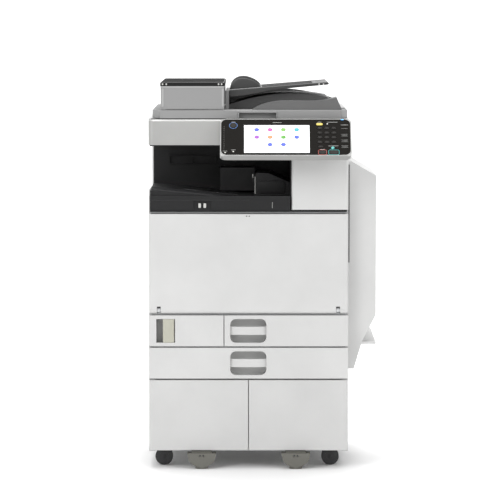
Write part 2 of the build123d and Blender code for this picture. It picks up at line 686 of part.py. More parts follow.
# ---- Control panel ------------------------------------------------------------------------
# Seen from the side the panel is a slab that hangs from a round top edge. up_y, up_z point up
# along its face and out_y, out_z point out of it.
x_panel = x_left + panel_left
panel_round = panel_thickness / 2
panel_axis = (y_front - 1.5 - panel_round, z_glass - panel_round)
up_y, up_z = sin(radians(panel_tilt)), cos(radians(panel_tilt))
out_y, out_z = -up_z, up_y
face_top = (panel_axis[0] + panel_round * out_y, panel_axis[1] + panel_round * out_z)
face_length = (face_top[0] - (y_front - panel_overhang)) / up_y
face_low = (face_top[0] - face_length * up_y, face_top[1] - face_length * up_z)
back_top = (panel_axis[0] - panel_round * out_y, panel_axis[1] - panel_round * out_z)
back_length = face_length - 28
back_low = (back_top[0] - back_length * up_y, back_top[1] - back_length * up_z)
panel_lugs = (x_panel + 60, x_panel + panel_width - 70)
lug_width = 24.0
lug_radius = 7.0
face_plane = Plane(origin=(x_panel, *face_top), x_dir=(1, 0, 0), z_dir=(0, out_y, out_z))


def face_point(across, down, depth=0.0):
    """Place on the panel: across from its left, down from the face's top, depth into it."""
    return face_plane.offset(-depth) * Location((across, -down, 0))


key_rows = {}
keypad_left, keypad_top = 290.0, 29.0
keypad_pitch_x, keypad_pitch_y = 20.5, 17.5
key_size = (12.0, 8.5)
for number, name in enumerate(["1", "2", "3", "4", "5", "6", "7", "8", "9",
                               "star", "0", "hash"]):
    key_rows[f"key_{name}"] = (keypad_left + number % 3 * keypad_pitch_x,
                               keypad_top + number // 3 * keypad_pitch_y, *key_size)
key_rows["key_clear"] = (292.0, 99.0, 13.0, 7.0)
key_rows["key_stop"] = (297.0, 119.5, 20.0, 15.0)
key_rows["key_start"] = (330.0, 119.5, 27.0, 15.0)
key_rows["key_reset"] = (289.5, 14.0, 19.0, 8.0)
key_rows["key_home"] = (38.5, 18.5, 19.0, 19.0)

with BuildPart() as panel_housing:
    with BuildSketch(Plane.YZ.offset(x_panel)) as outline:
        with BuildLine():
            Polyline(face_top, face_low, (face_low[0], face_low[1] - panel_lip), back_low,
                     back_top)
            ThreePointArc(back_top, (panel_axis[0] + panel_round * up_y,
                                     panel_axis[1] + panel_round * up_z), face_top)
        make_face()
    extrude(outline.sketch, amount=panel_width)
    slab_height = face_length + panel_round + panel_lip * up_z
    with BuildSketch(face_plane.offset(panel_thickness)) as corners:
        with Locations((panel_width / 2, panel_round - slab_height / 2)):
            RectangleRounded(panel_width, slab_height, panel_corner)
    extrude(corners.sketch, amount=-4 * panel_thickness, mode=Mode.INTERSECT)
    with Locations(face_point(screen_left + screen_width / 2, screen_top + screen_height / 2,
                              screen_thickness / 2)):
        Box(screen_width + 2 * seat_gap, screen_height + 2 * seat_gap, screen_thickness,
            mode=Mode.SUBTRACT)
    for across, down, width, height in key_rows.values():
        depth = key_height - key_proud + key_travel + seat_gap
        with BuildSketch(face_plane.offset(1)) as hole:
            with Locations((across, -down)):
                if width > height:
                    SlotOverall(width + 2 * key_clearance, height + 2 * key_clearance)
                else:
                    Circle(width / 2 + key_clearance)
        extrude(hole.sketch, amount=-depth - 1, mode=Mode.SUBTRACT)
    for x in panel_lugs:
        block(x - lug_width / 2 - 1, x + lug_width / 2 + 1, panel_axis[0] - lug_radius - 1,
              y_front, panel_axis[1] - lug_radius - 1, z_glass, mode=Mode.SUBTRACT)
        rod("X", x, *panel_axis, pin_radius + pin_clearance, lug_width + 2 * pin_length + 4,
            mode=Mode.SUBTRACT)
save(panel_housing.part, "panel_housing")

with BuildPart() as touch_screen:
    with Locations(face_point(screen_left + screen_width / 2, screen_top + screen_height / 2,
                              screen_thickness / 2)):
        Box(screen_width, screen_height, screen_thickness)
save(touch_screen.part, "touch_screen")

with BuildPart() as panel_arm:
    for x in panel_lugs:
        rod("X", x, *panel_axis, lug_radius, lug_width)
        block(x - lug_width / 2, x + lug_width / 2, panel_axis[0], y_front,
              panel_axis[1] - lug_radius, panel_axis[1])
        rod("X", x, *panel_axis, pin_radius, lug_width + 2 * pin_length)
    block(panel_lugs[0] - lug_width / 2, panel_lugs[1] + lug_width / 2, y_front - 0.8,
          y_front, panel_axis[1] - lug_radius - 8, panel_axis[1])
save(panel_arm.part, "panel_arm")


def key_cap(across, down, width, height):
    """Key cap that stands proud of the panel face: a slot shape, or round where it is square."""
    with BuildPart() as cap:
        with BuildSketch(face_plane.offset(key_proud - key_height)) as foot:
            with Locations((across, -down)):
                if width > height:
                    SlotOverall(width, height)
                else:
                    Circle(width / 2)
        extrude(foot.sketch, amount=key_height)
        top_face = cap.faces().sort_by(Axis((0, 0, 0), (0, out_y, out_z)))[-1]
        fillet(top_face.edges(), 0.8)
    return cap.part


for name, place in key_rows.items():
    save(key_cap(*place), name)

# ---- Document feeder ----------------------------------------------------------------------
adf_front = y_front + 7
adf_wide_y = y_front + 85
adf_back = adf_axis[0] - 10
feeder_x0 = x_left + 36
feeder_x1 = feeder_x0 + feeder_width
feeder_y1 = y_front + 475
feeder_top = z_adf_top + feeder_height
feeder_axis = (feeder_x0 + feeder_round, z_adf_top + 0.8 + feeder_round)
feeder_lug = 6.0
feeder_lugs = (adf_front + shell + seat_gap, feeder_y1 - shell - seat_gap - feeder_lug)
roller_x, roller_z = feeder_x1 - 20, z_adf_top + 54
roller_y = (adf_front + feeder_y1) / 2
post_wall = 8.0
tray_hinge_x = feeder_x1 + 8
tray_hinge_z = z_adf_top + 50
tray_tip = (x_right - 60, feeder_top - 2)
tray_length_y = 340.0
tray_y0 = roller_y - tray_length_y / 2
bracket_wall, bracket_half = 6.0, 5.0
tray_brackets = (tray_y0 - 0.5 - bracket_wall, tray_y0 + tray_length_y + 0.5)
exit_x1 = x_right - 20
exit_floor = z_adf_top + seat_gap

with BuildPart() as adf_base:
    with BuildSketch(Plane.XY.offset(z_adf)):
        with BuildLine():
            Polyline((x_left + 34, adf_front), (x_right - 22, adf_front),
                     (x_right - 2, adf_wide_y), (x_right - 2, adf_back),
                     (x_left + 10, adf_back), (x_left + 10, adf_wide_y), close=True)
        make_face()
    extrude(amount=adf_base_height)
    fillet(adf_base.edges().filter_by(Axis.Z), 6)
    chamfer(adf_base.edges().filter_by(Axis.X).group_by(Axis.Z)[-1].sort_by(Axis.Y)[0], 3)
    grip_x = (x_left + x_right) / 2 + 27
    block(grip_x - 59, grip_x + 59, adf_front, adf_front + 22, z_adf, z_adf + 17,
          mode=Mode.SUBTRACT)
    for x in adf_hinges:
        for side in (-1, 1):
            lug_x = x + side * (hinge_post / 2 + 0.5 + pin_length / 2)
            rod("X", lug_x, *adf_axis, adf_eye, pin_length)
            block(lug_x - pin_length / 2, lug_x + pin_length / 2, adf_back - 1, adf_axis[0],
                  adf_axis[1] - adf_eye, adf_axis[1] + adf_eye)
            rod("X", lug_x, *adf_axis, rail_radius + pin_clearance, pin_length,
                mode=Mode.SUBTRACT)
        block(x - hinge_post / 2 - 0.5, x + hinge_post / 2 + 0.5, adf_axis[0] - adf_eye - 1,
              y_back, z_adf, z_adf_top, mode=Mode.SUBTRACT)
    for y in (roller_y - feed_roller_length / 2 - post_wall,
              roller_y + feed_roller_length / 2 + 2 * seat_gap):
        block(roller_x - 12, roller_x + 12, y - seat_gap, y + post_wall - seat_gap,
              z_adf_top - 1, roller_z + 10)
        rod("Y", roller_x, y + post_wall / 2, roller_z, pin_radius + pin_clearance,
            post_wall + 2, mode=Mode.SUBTRACT)
    for y in feeder_lugs:
        block(feeder_axis[0] - 5, feeder_axis[0] + 8, y, y + feeder_lug, z_adf_top - 1,
              feeder_axis[1] + 5)
    for y in (adf_front + shell + 1, feeder_y1 - shell - 1):
        rod("Y", feeder_axis[0], y, feeder_axis[1], side_pin_radius, 7)
    for y0, pin_y in zip(tray_brackets, (tray_y0, tray_y0 + tray_length_y)):
        block(tray_hinge_x - bracket_half, tray_hinge_x + bracket_half, y0, y0 + bracket_wall,
              z_adf_top - 1, tray_hinge_z + bracket_half)
        rod("Y", tray_hinge_x, pin_y, tray_hinge_z, side_pin_radius, 14)
save(adf_base.part, "adf_base")

with BuildPart() as adf_feeder_cover:
    prism_along_y([(feeder_x0, z_adf_top + 0.8), (feeder_x1, z_adf_top + 0.8),
                   (feeder_x1, feeder_top), (feeder_x0, feeder_top)], adf_front, feeder_y1)
    low_edge = adf_feeder_cover.edges().filter_by(Axis.Y).group_by(Axis.Z)[0].sort_by(
        Axis.X)[0]
    fillet(low_edge, feeder_round)
    for side, radius in ((0, feeder_corner), (-1, feeder_corner / 2)):
        fillet(adf_feeder_cover.edges().filter_by(Axis.Z).group_by(Axis.X)[side], radius)
    prism_along_y([(feeder_x0 + shell, z_adf_top), (feeder_x1 + 1, z_adf_top),
                   (feeder_x1 + 1, z_adf_top + 70), (feeder_x1 - 40, feeder_top - shell),
                   (feeder_x0 + shell, feeder_top - shell)],
                  adf_front + shell, feeder_y1 - shell, mode=Mode.SUBTRACT)
    fillet(adf_feeder_cover.faces().sort_by(Axis.Z)[-1].edges(), 2)
    for y in feeder_lugs:
        block(feeder_x0 - 1, feeder_x0 + shell + 1, y - 0.2, y + feeder_lug + 0.2, z_adf_top,
              feeder_axis[1] + 7, mode=Mode.SUBTRACT)
    for y in (adf_front + shell / 2, feeder_y1 - shell / 2):
        rod("Y", feeder_axis[0], y, feeder_axis[1], side_pin_radius + pin_clearance, shell + 1,
            mode=Mode.SUBTRACT)
save(adf_feeder_cover.part, "adf_feeder_cover")

with BuildPart() as adf_feed_roller:
    rod("Y", roller_x, roller_y, roller_z, feed_roller_radius, feed_roller_length - 2)
    rod("Y", roller_x, roller_y, roller_z, pin_radius,
        feed_roller_length + 2 * post_wall)
save(adf_feed_roller.part, "adf_feed_roller")

with BuildPart() as adf_exit_tray:
    with BuildSketch(Plane.XZ.offset(-(y_front + 120))) as back_part:
        with BuildLine():
            Line((feeder_x1 + 3, exit_floor + 8), (feeder_x1 + 3, exit_floor))
            Line((feeder_x1 + 3, exit_floor), (exit_x1, exit_floor))
            Line((exit_x1, exit_floor), (exit_x1 - 40, exit_floor + 34))
            Spline([(exit_x1 - 40, exit_floor + 34), (feeder_x1 + 175, exit_floor + 44),
                    (feeder_x1 + 3, exit_floor + 8)])
        make_face()
    extrude(back_part.sketch, amount=-350)
    with BuildSketch(Plane.XZ.offset(-(adf_front + 6))) as front_part:
        with BuildLine():
            Line((feeder_x1 + 80, exit_floor), (exit_x1, exit_floor))
            Line((exit_x1, exit_floor), (exit_x1 - 15, exit_floor + 36))
            Spline([(exit_x1 - 15, exit_floor + 36), (exit_x1 - 62, exit_floor + 27),
                    (feeder_x1 + 200, exit_floor + 27), (feeder_x1 + 80, exit_floor)])
        make_face()
    extrude(front_part.sketch, amount=-(y_front + 121 - adf_front - 6))
    block(feeder_x1, tray_hinge_x + bracket_half + 1, tray_brackets[1] - 1,
          tray_brackets[1] + bracket_wall + 1, exit_floor, exit_floor + 30, mode=Mode.SUBTRACT)
save(adf_exit_tray.part, "adf_exit_tray")

tray_round = adf_tray_wall / 2
slope = (tray_tip[1] - tray_hinge_z) / (tray_tip[0] - tray_hinge_x)
with BuildPart() as adf_input_tray:
    prism_along_y([(tray_hinge_x, tray_hinge_z - tray_round), (tray_tip[0], tray_tip[1] - 7),
                   (tray_tip[0] + 4, tray_tip[1] - 3), (tray_tip[0], tray_tip[1]),
                   (tray_hinge_x, tray_hinge_z + tray_round)], tray_y0, tray_y0 + tray_length_y)
    rod("Y", tray_hinge_x, roller_y, tray_hinge_z, tray_round, tray_length_y)
    for y in (tray_y0, tray_y0 + tray_length_y):
        rod("Y", tray_hinge_x, y, tray_hinge_z, side_pin_radius + pin_clearance, 16,
            mode=Mode.SUBTRACT)
save(adf_input_tray.part, "adf_input_tray")


def side_guide(outer_y, way):
    """Domed side guide that stands on the input tray, from its outer face in the way given."""
    foot_x, dome_length = tray_hinge_x + 16, 82.0
    foot_z = tray_hinge_z + tray_round + slope * (foot_x - tray_hinge_x) + seat_gap
    end_z = foot_z + slope * dome_length
    with BuildPart() as guide:
        with BuildSketch(Plane.XZ.offset(-outer_y)) as dome:
            with BuildLine():
                Line((foot_x, foot_z), (foot_x + dome_length, end_z))
                ThreePointArc((foot_x + dome_length, end_z),
                              (foot_x + dome_length * 0.42, z_top), (foot_x, foot_z))
            make_face()
        extrude(dome.sketch, amount=-way * guide_wall)
    return guide.part


z_top = feeder_top + 10
guide_y0 = roller_y - guide_spread / 2
save(side_guide(guide_y0, 1), "adf_guide_front")
save(side_guide(guide_y0 + guide_spread, -1), "adf_guide_rear")

# ---- Consumables and inner units ----------------------------------------------------------
bottle_y0 = y_toner_plate - 12
with BuildPart() as toner_bottles:
    for number in range(bottle_count):
        x = bottle_first_x + number * bottle_pitch
        rod("Y", x, bottle_y0 + bottle_length / 2, bottle_z, bottle_radius, bottle_length)
    fillet(toner_bottles.edges().filter_by(GeomType.CIRCLE), 5)
    for number in range(bottle_count):
        x = bottle_first_x + number * bottle_pitch
        rod("Y", x, bottle_y0 + bottle_length + 8, bottle_z, 12, 16)
        block(x - 3, x + 3, bottle_y0 - 10, bottle_y0 + 1, bottle_z - 24, bottle_z + 24)
save(toner_bottles.part, "toner_bottles")

drum_z = rail_z + seat_gap
with BuildPart() as drum_units:
    for number in range(bottle_count):
        x = bottle_first_x + number * bottle_pitch
        block(x - 34, x + 34, y_front + 75, y_front + 400, drum_z, drum_z + 52)
        rod("Y", x, y_front + 237, drum_z, 15, 270)
        rod("Y", x + 20, y_front + 72, drum_z + 34, 9, 12)
save(drum_units.part, "drum_units")

fuser_x1 = x_inner_right - seat_gap
fuser_x0 = bottle_first_x + (bottle_count - 1) * bottle_pitch + 62
with BuildPart() as fusing_unit:
    block(fuser_x0, fuser_x1, y_front + 70, y_front + 410, rail_z + seat_gap, rail_z + 110)
    block(fuser_x0 + 10, fuser_x1 - 10, y_front + 85, y_front + 395, rail_z + 60, rail_z + 110,
          mode=Mode.SUBTRACT)
    for x, radius in ((fuser_x0 + 32, 20), (fuser_x0 + 75, 17)):
        rod("Y", x, y_front + 240, rail_z + 84, radius, 300)
        rod("Y", x, y_front + 240, rail_z + 84, 8, 320)
    block(fuser_x0 + 20, fuser_x0 + 60, y_front + 55, y_front + 72, rail_z + 20, rail_z + 34)
save(fusing_unit.part, "fusing_unit")
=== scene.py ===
"""Floor-standing colour copier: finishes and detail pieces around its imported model.

X runs to the right, Y to the back and Z up, in metres. Every piece is worked out in place, so its
object stays at the origin, and rides on the body that carries the real piece.
"""
import math

import bmesh
import bpy
import numpy as np
from bpy.props import FloatProperty, FloatVectorProperty, PointerProperty
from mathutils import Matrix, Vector


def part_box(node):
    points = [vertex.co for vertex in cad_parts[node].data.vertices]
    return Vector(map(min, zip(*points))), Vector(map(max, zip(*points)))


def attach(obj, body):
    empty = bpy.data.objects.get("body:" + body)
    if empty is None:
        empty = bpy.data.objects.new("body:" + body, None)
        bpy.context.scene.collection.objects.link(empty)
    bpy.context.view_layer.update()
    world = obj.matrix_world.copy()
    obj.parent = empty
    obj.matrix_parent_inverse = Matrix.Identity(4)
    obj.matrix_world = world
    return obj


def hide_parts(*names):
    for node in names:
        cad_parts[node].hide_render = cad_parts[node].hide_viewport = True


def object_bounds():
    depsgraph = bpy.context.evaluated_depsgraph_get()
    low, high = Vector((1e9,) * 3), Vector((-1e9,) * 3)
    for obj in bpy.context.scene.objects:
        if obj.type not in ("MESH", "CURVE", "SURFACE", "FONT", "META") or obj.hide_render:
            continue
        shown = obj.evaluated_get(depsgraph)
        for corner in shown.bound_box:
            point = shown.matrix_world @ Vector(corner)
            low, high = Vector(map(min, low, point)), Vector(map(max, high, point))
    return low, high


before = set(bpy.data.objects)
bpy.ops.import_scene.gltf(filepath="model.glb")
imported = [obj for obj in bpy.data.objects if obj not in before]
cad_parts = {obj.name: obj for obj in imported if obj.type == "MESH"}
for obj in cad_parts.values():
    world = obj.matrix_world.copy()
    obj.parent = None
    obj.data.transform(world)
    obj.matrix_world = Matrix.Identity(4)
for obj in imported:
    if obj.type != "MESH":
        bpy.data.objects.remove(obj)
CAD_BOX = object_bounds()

bl_info = {
    "name": "Office Copier",
    "version": (1, 0, 0),
    "blender": (4, 5, 0),
    "location": "View3D > Sidebar > Copier",
    "description": "Finishes, control panel, feeder, fronts and casters of a floor copier",
    "category": "Object",
}

X_AXIS = np.array((1.0, 0.0, 0.0))
Y_AXIS = np.array((0.0, 1.0, 0.0))
Z_AXIS = np.array((0.0, 0.0, 1.0))
CORNER_STEPS = 8                      # steps of a rounded corner
SMALLEST_RADIUS = 1e-5                # of an outline's corner
JOIN_LENGTH = 1e-7                    # edges shorter than this are closed up


def colour_property(name, description, default):
    """A colour that a user may change."""
    return FloatVectorProperty(name=name, description=description, default=default,
                               subtype="COLOR", size=3, min=0.0, max=1.0)


def length_property(name, description, default):
    """A length in metres that a user may change."""
    return FloatProperty(name=name, description=description, default=default, min=0.0,
                         unit="LENGTH", subtype="DISTANCE", precision=4)


class CopierColours(bpy.types.PropertyGroup):
    """Colours of the copier's finishes."""
    cover: colour_property("Cover", "Outer covers, front door and drawers", (0.59, 0.59, 0.585))
    cabinet: colour_property("Cabinet", "Stand under the copier", (0.55, 0.55, 0.545))
    silver: colour_property("Silver", "Scanner cover and panel bezel", (0.46, 0.46, 0.45))
    feeder: colour_property("Feeder", "Feeder cover and its base", (0.255, 0.255, 0.255))
    tray: colour_property("Tray", "Exit tray of the feeder", (0.12, 0.12, 0.12))
    black: colour_property("Black", "Mouldings of the output cavity", (0.010, 0.010, 0.0105))
    panel: colour_property("Panel", "Dark face of the control panel", (0.0062, 0.0050, 0.0036))
    screen: colour_property("Screen", "Background of the touch screen", (0.93, 0.94, 0.95))
    floor: colour_property("Floor", "Studio floor and backdrop", (0.93, 0.93, 0.93))


class CopierSizes(bpy.types.PropertyGroup):
    """Sizes of the detail pieces."""
    rim_width: length_property("Rim width", "Bezel around the control panel", 0.0034)
    rim_rise: length_property("Rim rise", "Height of the bezel over the face", 0.0006)
    panel_corner: length_property("Panel corner", "Corner radius of the panel", 0.0200)
    icon_size: length_property("Icon size", "Width of an icon on the screen", 0.0145)
    cap_rise: length_property("Cap rise", "Height of the feeder's top cap", 0.0115)
    mark_rise: length_property("Mark rise", "Thickness of printed marks", 0.00012)


class CopierStudio(bpy.types.PropertyGroup):
    """Camera and lights."""
    distance: length_property("Distance", "Camera to the front of the copier", 9.5)
    eye_height: length_property("Eye height", "Camera over the floor", 1.37)
    lens: FloatProperty(name="Lens", description="Focal length in millimetres", default=233.7,
                        min=1.0)
    key_power: FloatProperty(name="Key light", description="Power of the key light in watts",
                             default=105.0, min=0.0)


def middle_of(node):
    """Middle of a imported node's box."""
    low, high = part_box(node)
    return (np.array(low) + np.array(high)) / 2


# ---- Meshes from arrays -------------------------------------------------------------------
def make_object(name, points, faces, smooth=True):
    """Mesh object from an array of points and a list of face arrays, linked to the scene."""
    mesh = bpy.data.meshes.new(name)
    mesh.from_pydata(np.asarray(points).reshape(-1, 3).tolist(), [],
                     [list(face) for face in faces])
    mesh.update()
    mesh.polygons.foreach_set("use_smooth", np.full(len(mesh.polygons), smooth))
    piece = bpy.data.objects.new(name, mesh)
    bpy.context.scene.collection.objects.link(piece)
    return piece


def grid_faces(rows, columns, wrap_rows=False, wrap_columns=False, start=0):
    """Quads of a grid of points, row by row. A wrapped way joins its last line to its first."""
    i = np.arange(rows if wrap_rows else rows - 1)
    j = np.arange(columns if wrap_columns else columns - 1)
    i, j = np.meshgrid(i, j, indexing="ij")
    i1, j1 = (i + 1) % rows, (j + 1) % columns
    quads = np.stack([i * columns + j, i * columns + j1, i1 * columns + j1, i1 * columns + j],
                     axis=-1).reshape(-1, 4)
    return (quads + start).tolist()


def rounded_outline(width, height, radius, steps=CORNER_STEPS):
    """Rounded rectangle, anticlockwise and centred: each corner is a quarter circle of the
    radius, drawn about a centre that lies one radius in from both sides. Also gives the outward
    direction at each point."""
    radius = min(radius, width / 2, height / 2)
    angle = np.linspace(0.0, math.pi / 2, steps + 1)
    turns = np.concatenate([angle + quarter * math.pi / 2 for quarter in range(4)])
    outward = np.stack([np.cos(turns), np.sin(turns)], axis=-1)
    centre_x = np.repeat([1.0, -1.0, -1.0, 1.0], steps + 1) * (width / 2 - radius)
    centre_y = np.repeat([1.0, 1.0, -1.0, -1.0], steps + 1) * (height / 2 - radius)
    return np.stack([centre_x, centre_y], axis=-1) + radius * outward, outward


def capped_faces(rows, columns):
    """Faces of a grid whose rows are closed rings, with the first and the last ring filled."""
    faces = grid_faces(rows, columns, wrap_columns=True)
    faces.append(list(range(columns))[::-1])
    faces.append(list(range((rows - 1) * columns, rows * columns)))
    return faces


class Place:
    """A flat frame of reference: an origin, its across and up directions, and its outward one."""

    def __init__(self, origin, across, up):
        self.origin = np.asarray(origin, float)
        self.across = np.asarray(across, float)
        self.up = np.asarray(up, float)
        self.out = np.cross(self.across, self.up)

    def at(self, across, up, out=0.0):
        """The same frame moved by the given lengths."""
        origin = self.origin + across * self.across + up * self.up + out * self.out
        return Place(origin, self.across, self.up)

    def points(self, local):
        """Local (across, up, out) points in the object's frame."""
        return self.origin + local @ np.stack([self.across, self.up, self.out])


def plate(width, height, radius, profile, place, steps=CORNER_STEPS):
    """Closed rounded plate: one ring per (inset, height) pair of its edge profile. Each ring is
    the rounded rectangle that lies the inset inside the given one, raised by the height, and
    both end rings are filled."""
    profile = np.asarray(profile, float)
    rings = np.stack([rounded_outline(width - 2 * inset, height - 2 * inset,
                                      max(radius - inset, SMALLEST_RADIUS), steps)[0]
                      for inset in profile[:, 0]])
    heights = np.broadcast_to(profile[:, None, None, 1], rings.shape[:2] + (1,))
    points = place.points(np.concatenate([rings, heights], axis=-1).reshape(-1, 3))
    rows, columns = rings.shape[:2]
    return points, capped_faces(rows, columns)


def slat(width, height, radius, edge, origin, across=X_AXIS, up=Z_AXIS, steps=CORNER_STEPS):
    """Rounded plate that faces forward unless told otherwise, about its origin. Its edge is a
    (rise, rounding) pair."""
    return plate(width, height, radius, soft_edge(*edge), Place(origin, across, up), steps)


def soft_edge(rise, edge, steps=4):
    """Edge profile that rises straight and ends in a quarter round of the edge's radius."""
    angle = np.linspace(0.0, math.pi / 2, steps + 1)
    inset = edge * (1.0 - np.cos(angle))
    height = rise - edge + edge * np.sin(angle)
    return [(0.0, 0.0), *zip(inset, height)]


def loop_band(outline, outward, section, place):
    """Closed band: an anticlockwise section of (outward, height) points carried round the
    outline."""
    section = np.asarray(section, float)
    rings = outline[:, None, :] + section[None, :, None, 0] * outward[:, None, :]
    heights = np.broadcast_to(section[None, :, None, 1], rings.shape[:2] + (1,))
    points = place.points(np.concatenate([rings, heights], axis=-1).reshape(-1, 3))
    faces = grid_faces(*rings.shape[:2], wrap_rows=True, wrap_columns=True)
    return points, [face[::-1] for face in faces]


class Builder:
    """Gathers the solids of one piece, each with its own finish."""

    def __init__(self, name):
        self.name, self.points, self.faces, self.marks, self.finishes = name, [], [], [], []
        self.count = 0

    def add(self, solid, finish):
        """Take up the points and faces of a solid that starts at point zero."""
        points, faces = solid
        if finish not in self.finishes:
            self.finishes.append(finish)
        self.faces += [[corner + self.count for corner in face] for face in faces]
        self.marks += [self.finishes.index(finish)] * len(faces)
        self.points.append(np.asarray(points).reshape(-1, 3))
        self.count += len(self.points[-1])
        return self

    def build(self, body, slot, smooth=True, sharp_angle=40.0):
        """Make the object, with its normals outwards, and let it ride on the body."""
        piece = make_object(self.name, np.concatenate(self.points), self.faces, smooth)
        for finish in self.finishes:
            piece.data.materials.append(bpy.data.materials[finish])
        piece.data.polygons.foreach_set("material_index", self.marks)
        mesh = bmesh.new()
        mesh.from_mesh(piece.data)
        bmesh.ops.dissolve_degenerate(mesh, dist=JOIN_LENGTH, edges=mesh.edges)
        mesh.to_mesh(piece.data)
        mesh.free()
        if smooth:
            piece.data.set_sharp_from_angle(angle=math.radians(sharp_angle))
        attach(piece, body)
        return piece


# ---- Finishes -----------------------------------------------------------------------------
EDGE_ROUNDING = 0.0007                # radius that the bevel shading gives an edge
GRAIN_RISE = 0.0004                   # height of the grain at full strength
DRIFT_SCALE, PATCH_SCALE, RUB_SCALE = 7.0, 35.0, 90.0     # of the noise patterns, per metre
FLECK_SCALE = 1800.0
WORN_TONE = 0.85                      # light grey that worn edges move towards
def node_of(tree, kind, inputs=None, **settings):
    """New shader node with the given settings and input values."""
    node = tree.nodes.new(kind)
    for key, value in settings.items():
        setattr(node, key, value)
    for key, value in (inputs or {}).items():
        node.inputs[key].default_value = value
    return node


def noise_factor(tree, coordinates, scale, detail=3.0, roughness=0.55):
    """Factor output of a noise pattern on the object's own coordinates."""
    noise = node_of(tree, "ShaderNodeTexNoise",
                    {"Scale": scale, "Detail": detail, "Roughness": roughness})
    tree.links.new(coordinates, noise.inputs["Vector"])
    return noise.outputs["Factor" if "Factor" in noise.outputs else "Fac"]


def spread(tree, factor, low, high, start=0.3, end=0.7):
    """Map a pattern's middle range onto low to high."""
    node = node_of(tree, "ShaderNodeMapRange", {"From Min": start, "From Max": end,
                                               "To Min": low, "To Max": high})
    tree.links.new(factor, node.inputs["Value"])
    return node.outputs["Result"]


def edge_mask(tree, radius):
    """1 on outer edges and 0 on flats: the turn between the true and the rounded normal."""
    rounded = node_of(tree, "ShaderNodeBevel", {"Radius": radius}, samples=3)
    geometry = node_of(tree, "ShaderNodeNewGeometry")
    turn = node_of(tree, "ShaderNodeVectorMath", operation="DOT_PRODUCT")
    tree.links.new(rounded.outputs["Normal"], turn.inputs[0])
    tree.links.new(geometry.outputs["Normal"], turn.inputs[1])
    return rounded.outputs["Normal"], spread(tree, turn.outputs["Value"], 1.0, 0.0, 0.86, 0.99)


def moulded(name, colour, roughness=0.42, metallic=0.0, grain=1400.0, grain_depth=0.06,
            tone=0.035, wear=0.16, coat=0.0, flecks=0.0, gloss=0.5):
    """Moulded or painted finish. The base colour drifts a little over the piece, a fine grain
    gives the bump, the roughness varies in soft patches, and outer edges are rounded and a
    little lighter where hands rub them."""
    material = bpy.data.materials.new(name)
    material.use_nodes = True
    tree = material.node_tree
    shader = tree.nodes["Principled BSDF"]
    shader.inputs["Metallic"].default_value = metallic
    shader.inputs["Specular IOR Level"].default_value = gloss
    if coat:
        shader.inputs["Coat Weight"].default_value = coat
        shader.inputs["Coat Roughness"].default_value = 0.08
    coordinates = node_of(tree, "ShaderNodeTexCoord").outputs["Object"]
    normal, rubbed = edge_mask(tree, EDGE_ROUNDING)
    base = np.array(colour[:3])
    drift = node_of(tree, "ShaderNodeMix", data_type="RGBA")
    drift.inputs["A"].default_value = (*np.clip(base * (1 - tone), 0, 1), 1)
    drift.inputs["B"].default_value = (*np.clip(base * (1 + tone), 0, 1), 1)
    tree.links.new(spread(tree, noise_factor(tree, coordinates, DRIFT_SCALE), 0.0, 1.0),
                   drift.inputs["Factor"])
    worn = node_of(tree, "ShaderNodeMix", data_type="RGBA")
    worn.inputs["B"].default_value = (*(base + (WORN_TONE - base) * 0.5), 1)
    tree.links.new(drift.outputs["Result"], worn.inputs["A"])
    rub = node_of(tree, "ShaderNodeMath", operation="MULTIPLY")
    tree.links.new(rubbed, rub.inputs[0])
    tree.links.new(spread(tree, noise_factor(tree, coordinates, RUB_SCALE), 0.2 * wear, wear),
                   rub.inputs[1])
    tree.links.new(rub.outputs["Value"], worn.inputs["Factor"])
    colour_out = worn.outputs["Result"]
    if flecks:
        fleck = node_of(tree, "ShaderNodeTexVoronoi", {"Scale": FLECK_SCALE})
        tree.links.new(coordinates, fleck.inputs["Vector"])
        bright = node_of(tree, "ShaderNodeMix", data_type="RGBA", blend_type="OVERLAY")
        bright.inputs["Factor"].default_value = flecks
        tree.links.new(colour_out, bright.inputs["A"])
        tree.links.new(fleck.outputs["Color"], bright.inputs["B"])
        colour_out = bright.outputs["Result"]
    tree.links.new(colour_out, shader.inputs["Base Color"])
    patches = spread(tree, noise_factor(tree, coordinates, PATCH_SCALE), roughness * 0.86,
                     min(1.0, roughness * 1.14))
    tree.links.new(patches, shader.inputs["Roughness"])
    bump = node_of(tree, "ShaderNodeBump", {"Strength": grain_depth, "Distance": GRAIN_RISE})
    tree.links.new(noise_factor(tree, coordinates, grain, 2.0), bump.inputs["Height"])
    tree.links.new(normal, bump.inputs["Normal"])
    tree.links.new(bump.outputs["Normal"], shader.inputs["Normal"])
    return material


def glowing(name, colour, strength, roughness=0.2):
    """Lit screen or lamp: its own light under a faintly mottled gloss."""
    material = moulded(name, colour, roughness=roughness, wear=0.0, tone=0.015,
                       grain_depth=0.01)
    shader = material.node_tree.nodes["Principled BSDF"]
    shader.inputs["Emission Color"].default_value = (*colour[:3], 1)
    shader.inputs["Emission Strength"].default_value = strength
    return material


def clear_plate(name, tint, roughness=0.03, clarity=0.85):
    """Glass or clear plastic: transmitting, with a faint tint and finger smears in the gloss."""
    material = moulded(name, tint, roughness=roughness, wear=0.0, grain=300.0,
                       grain_depth=0.004)
    shader = material.node_tree.nodes["Principled BSDF"]
    shader.inputs["Transmission Weight"].default_value = clarity
    shader.inputs["IOR"].default_value = 1.47
    return material


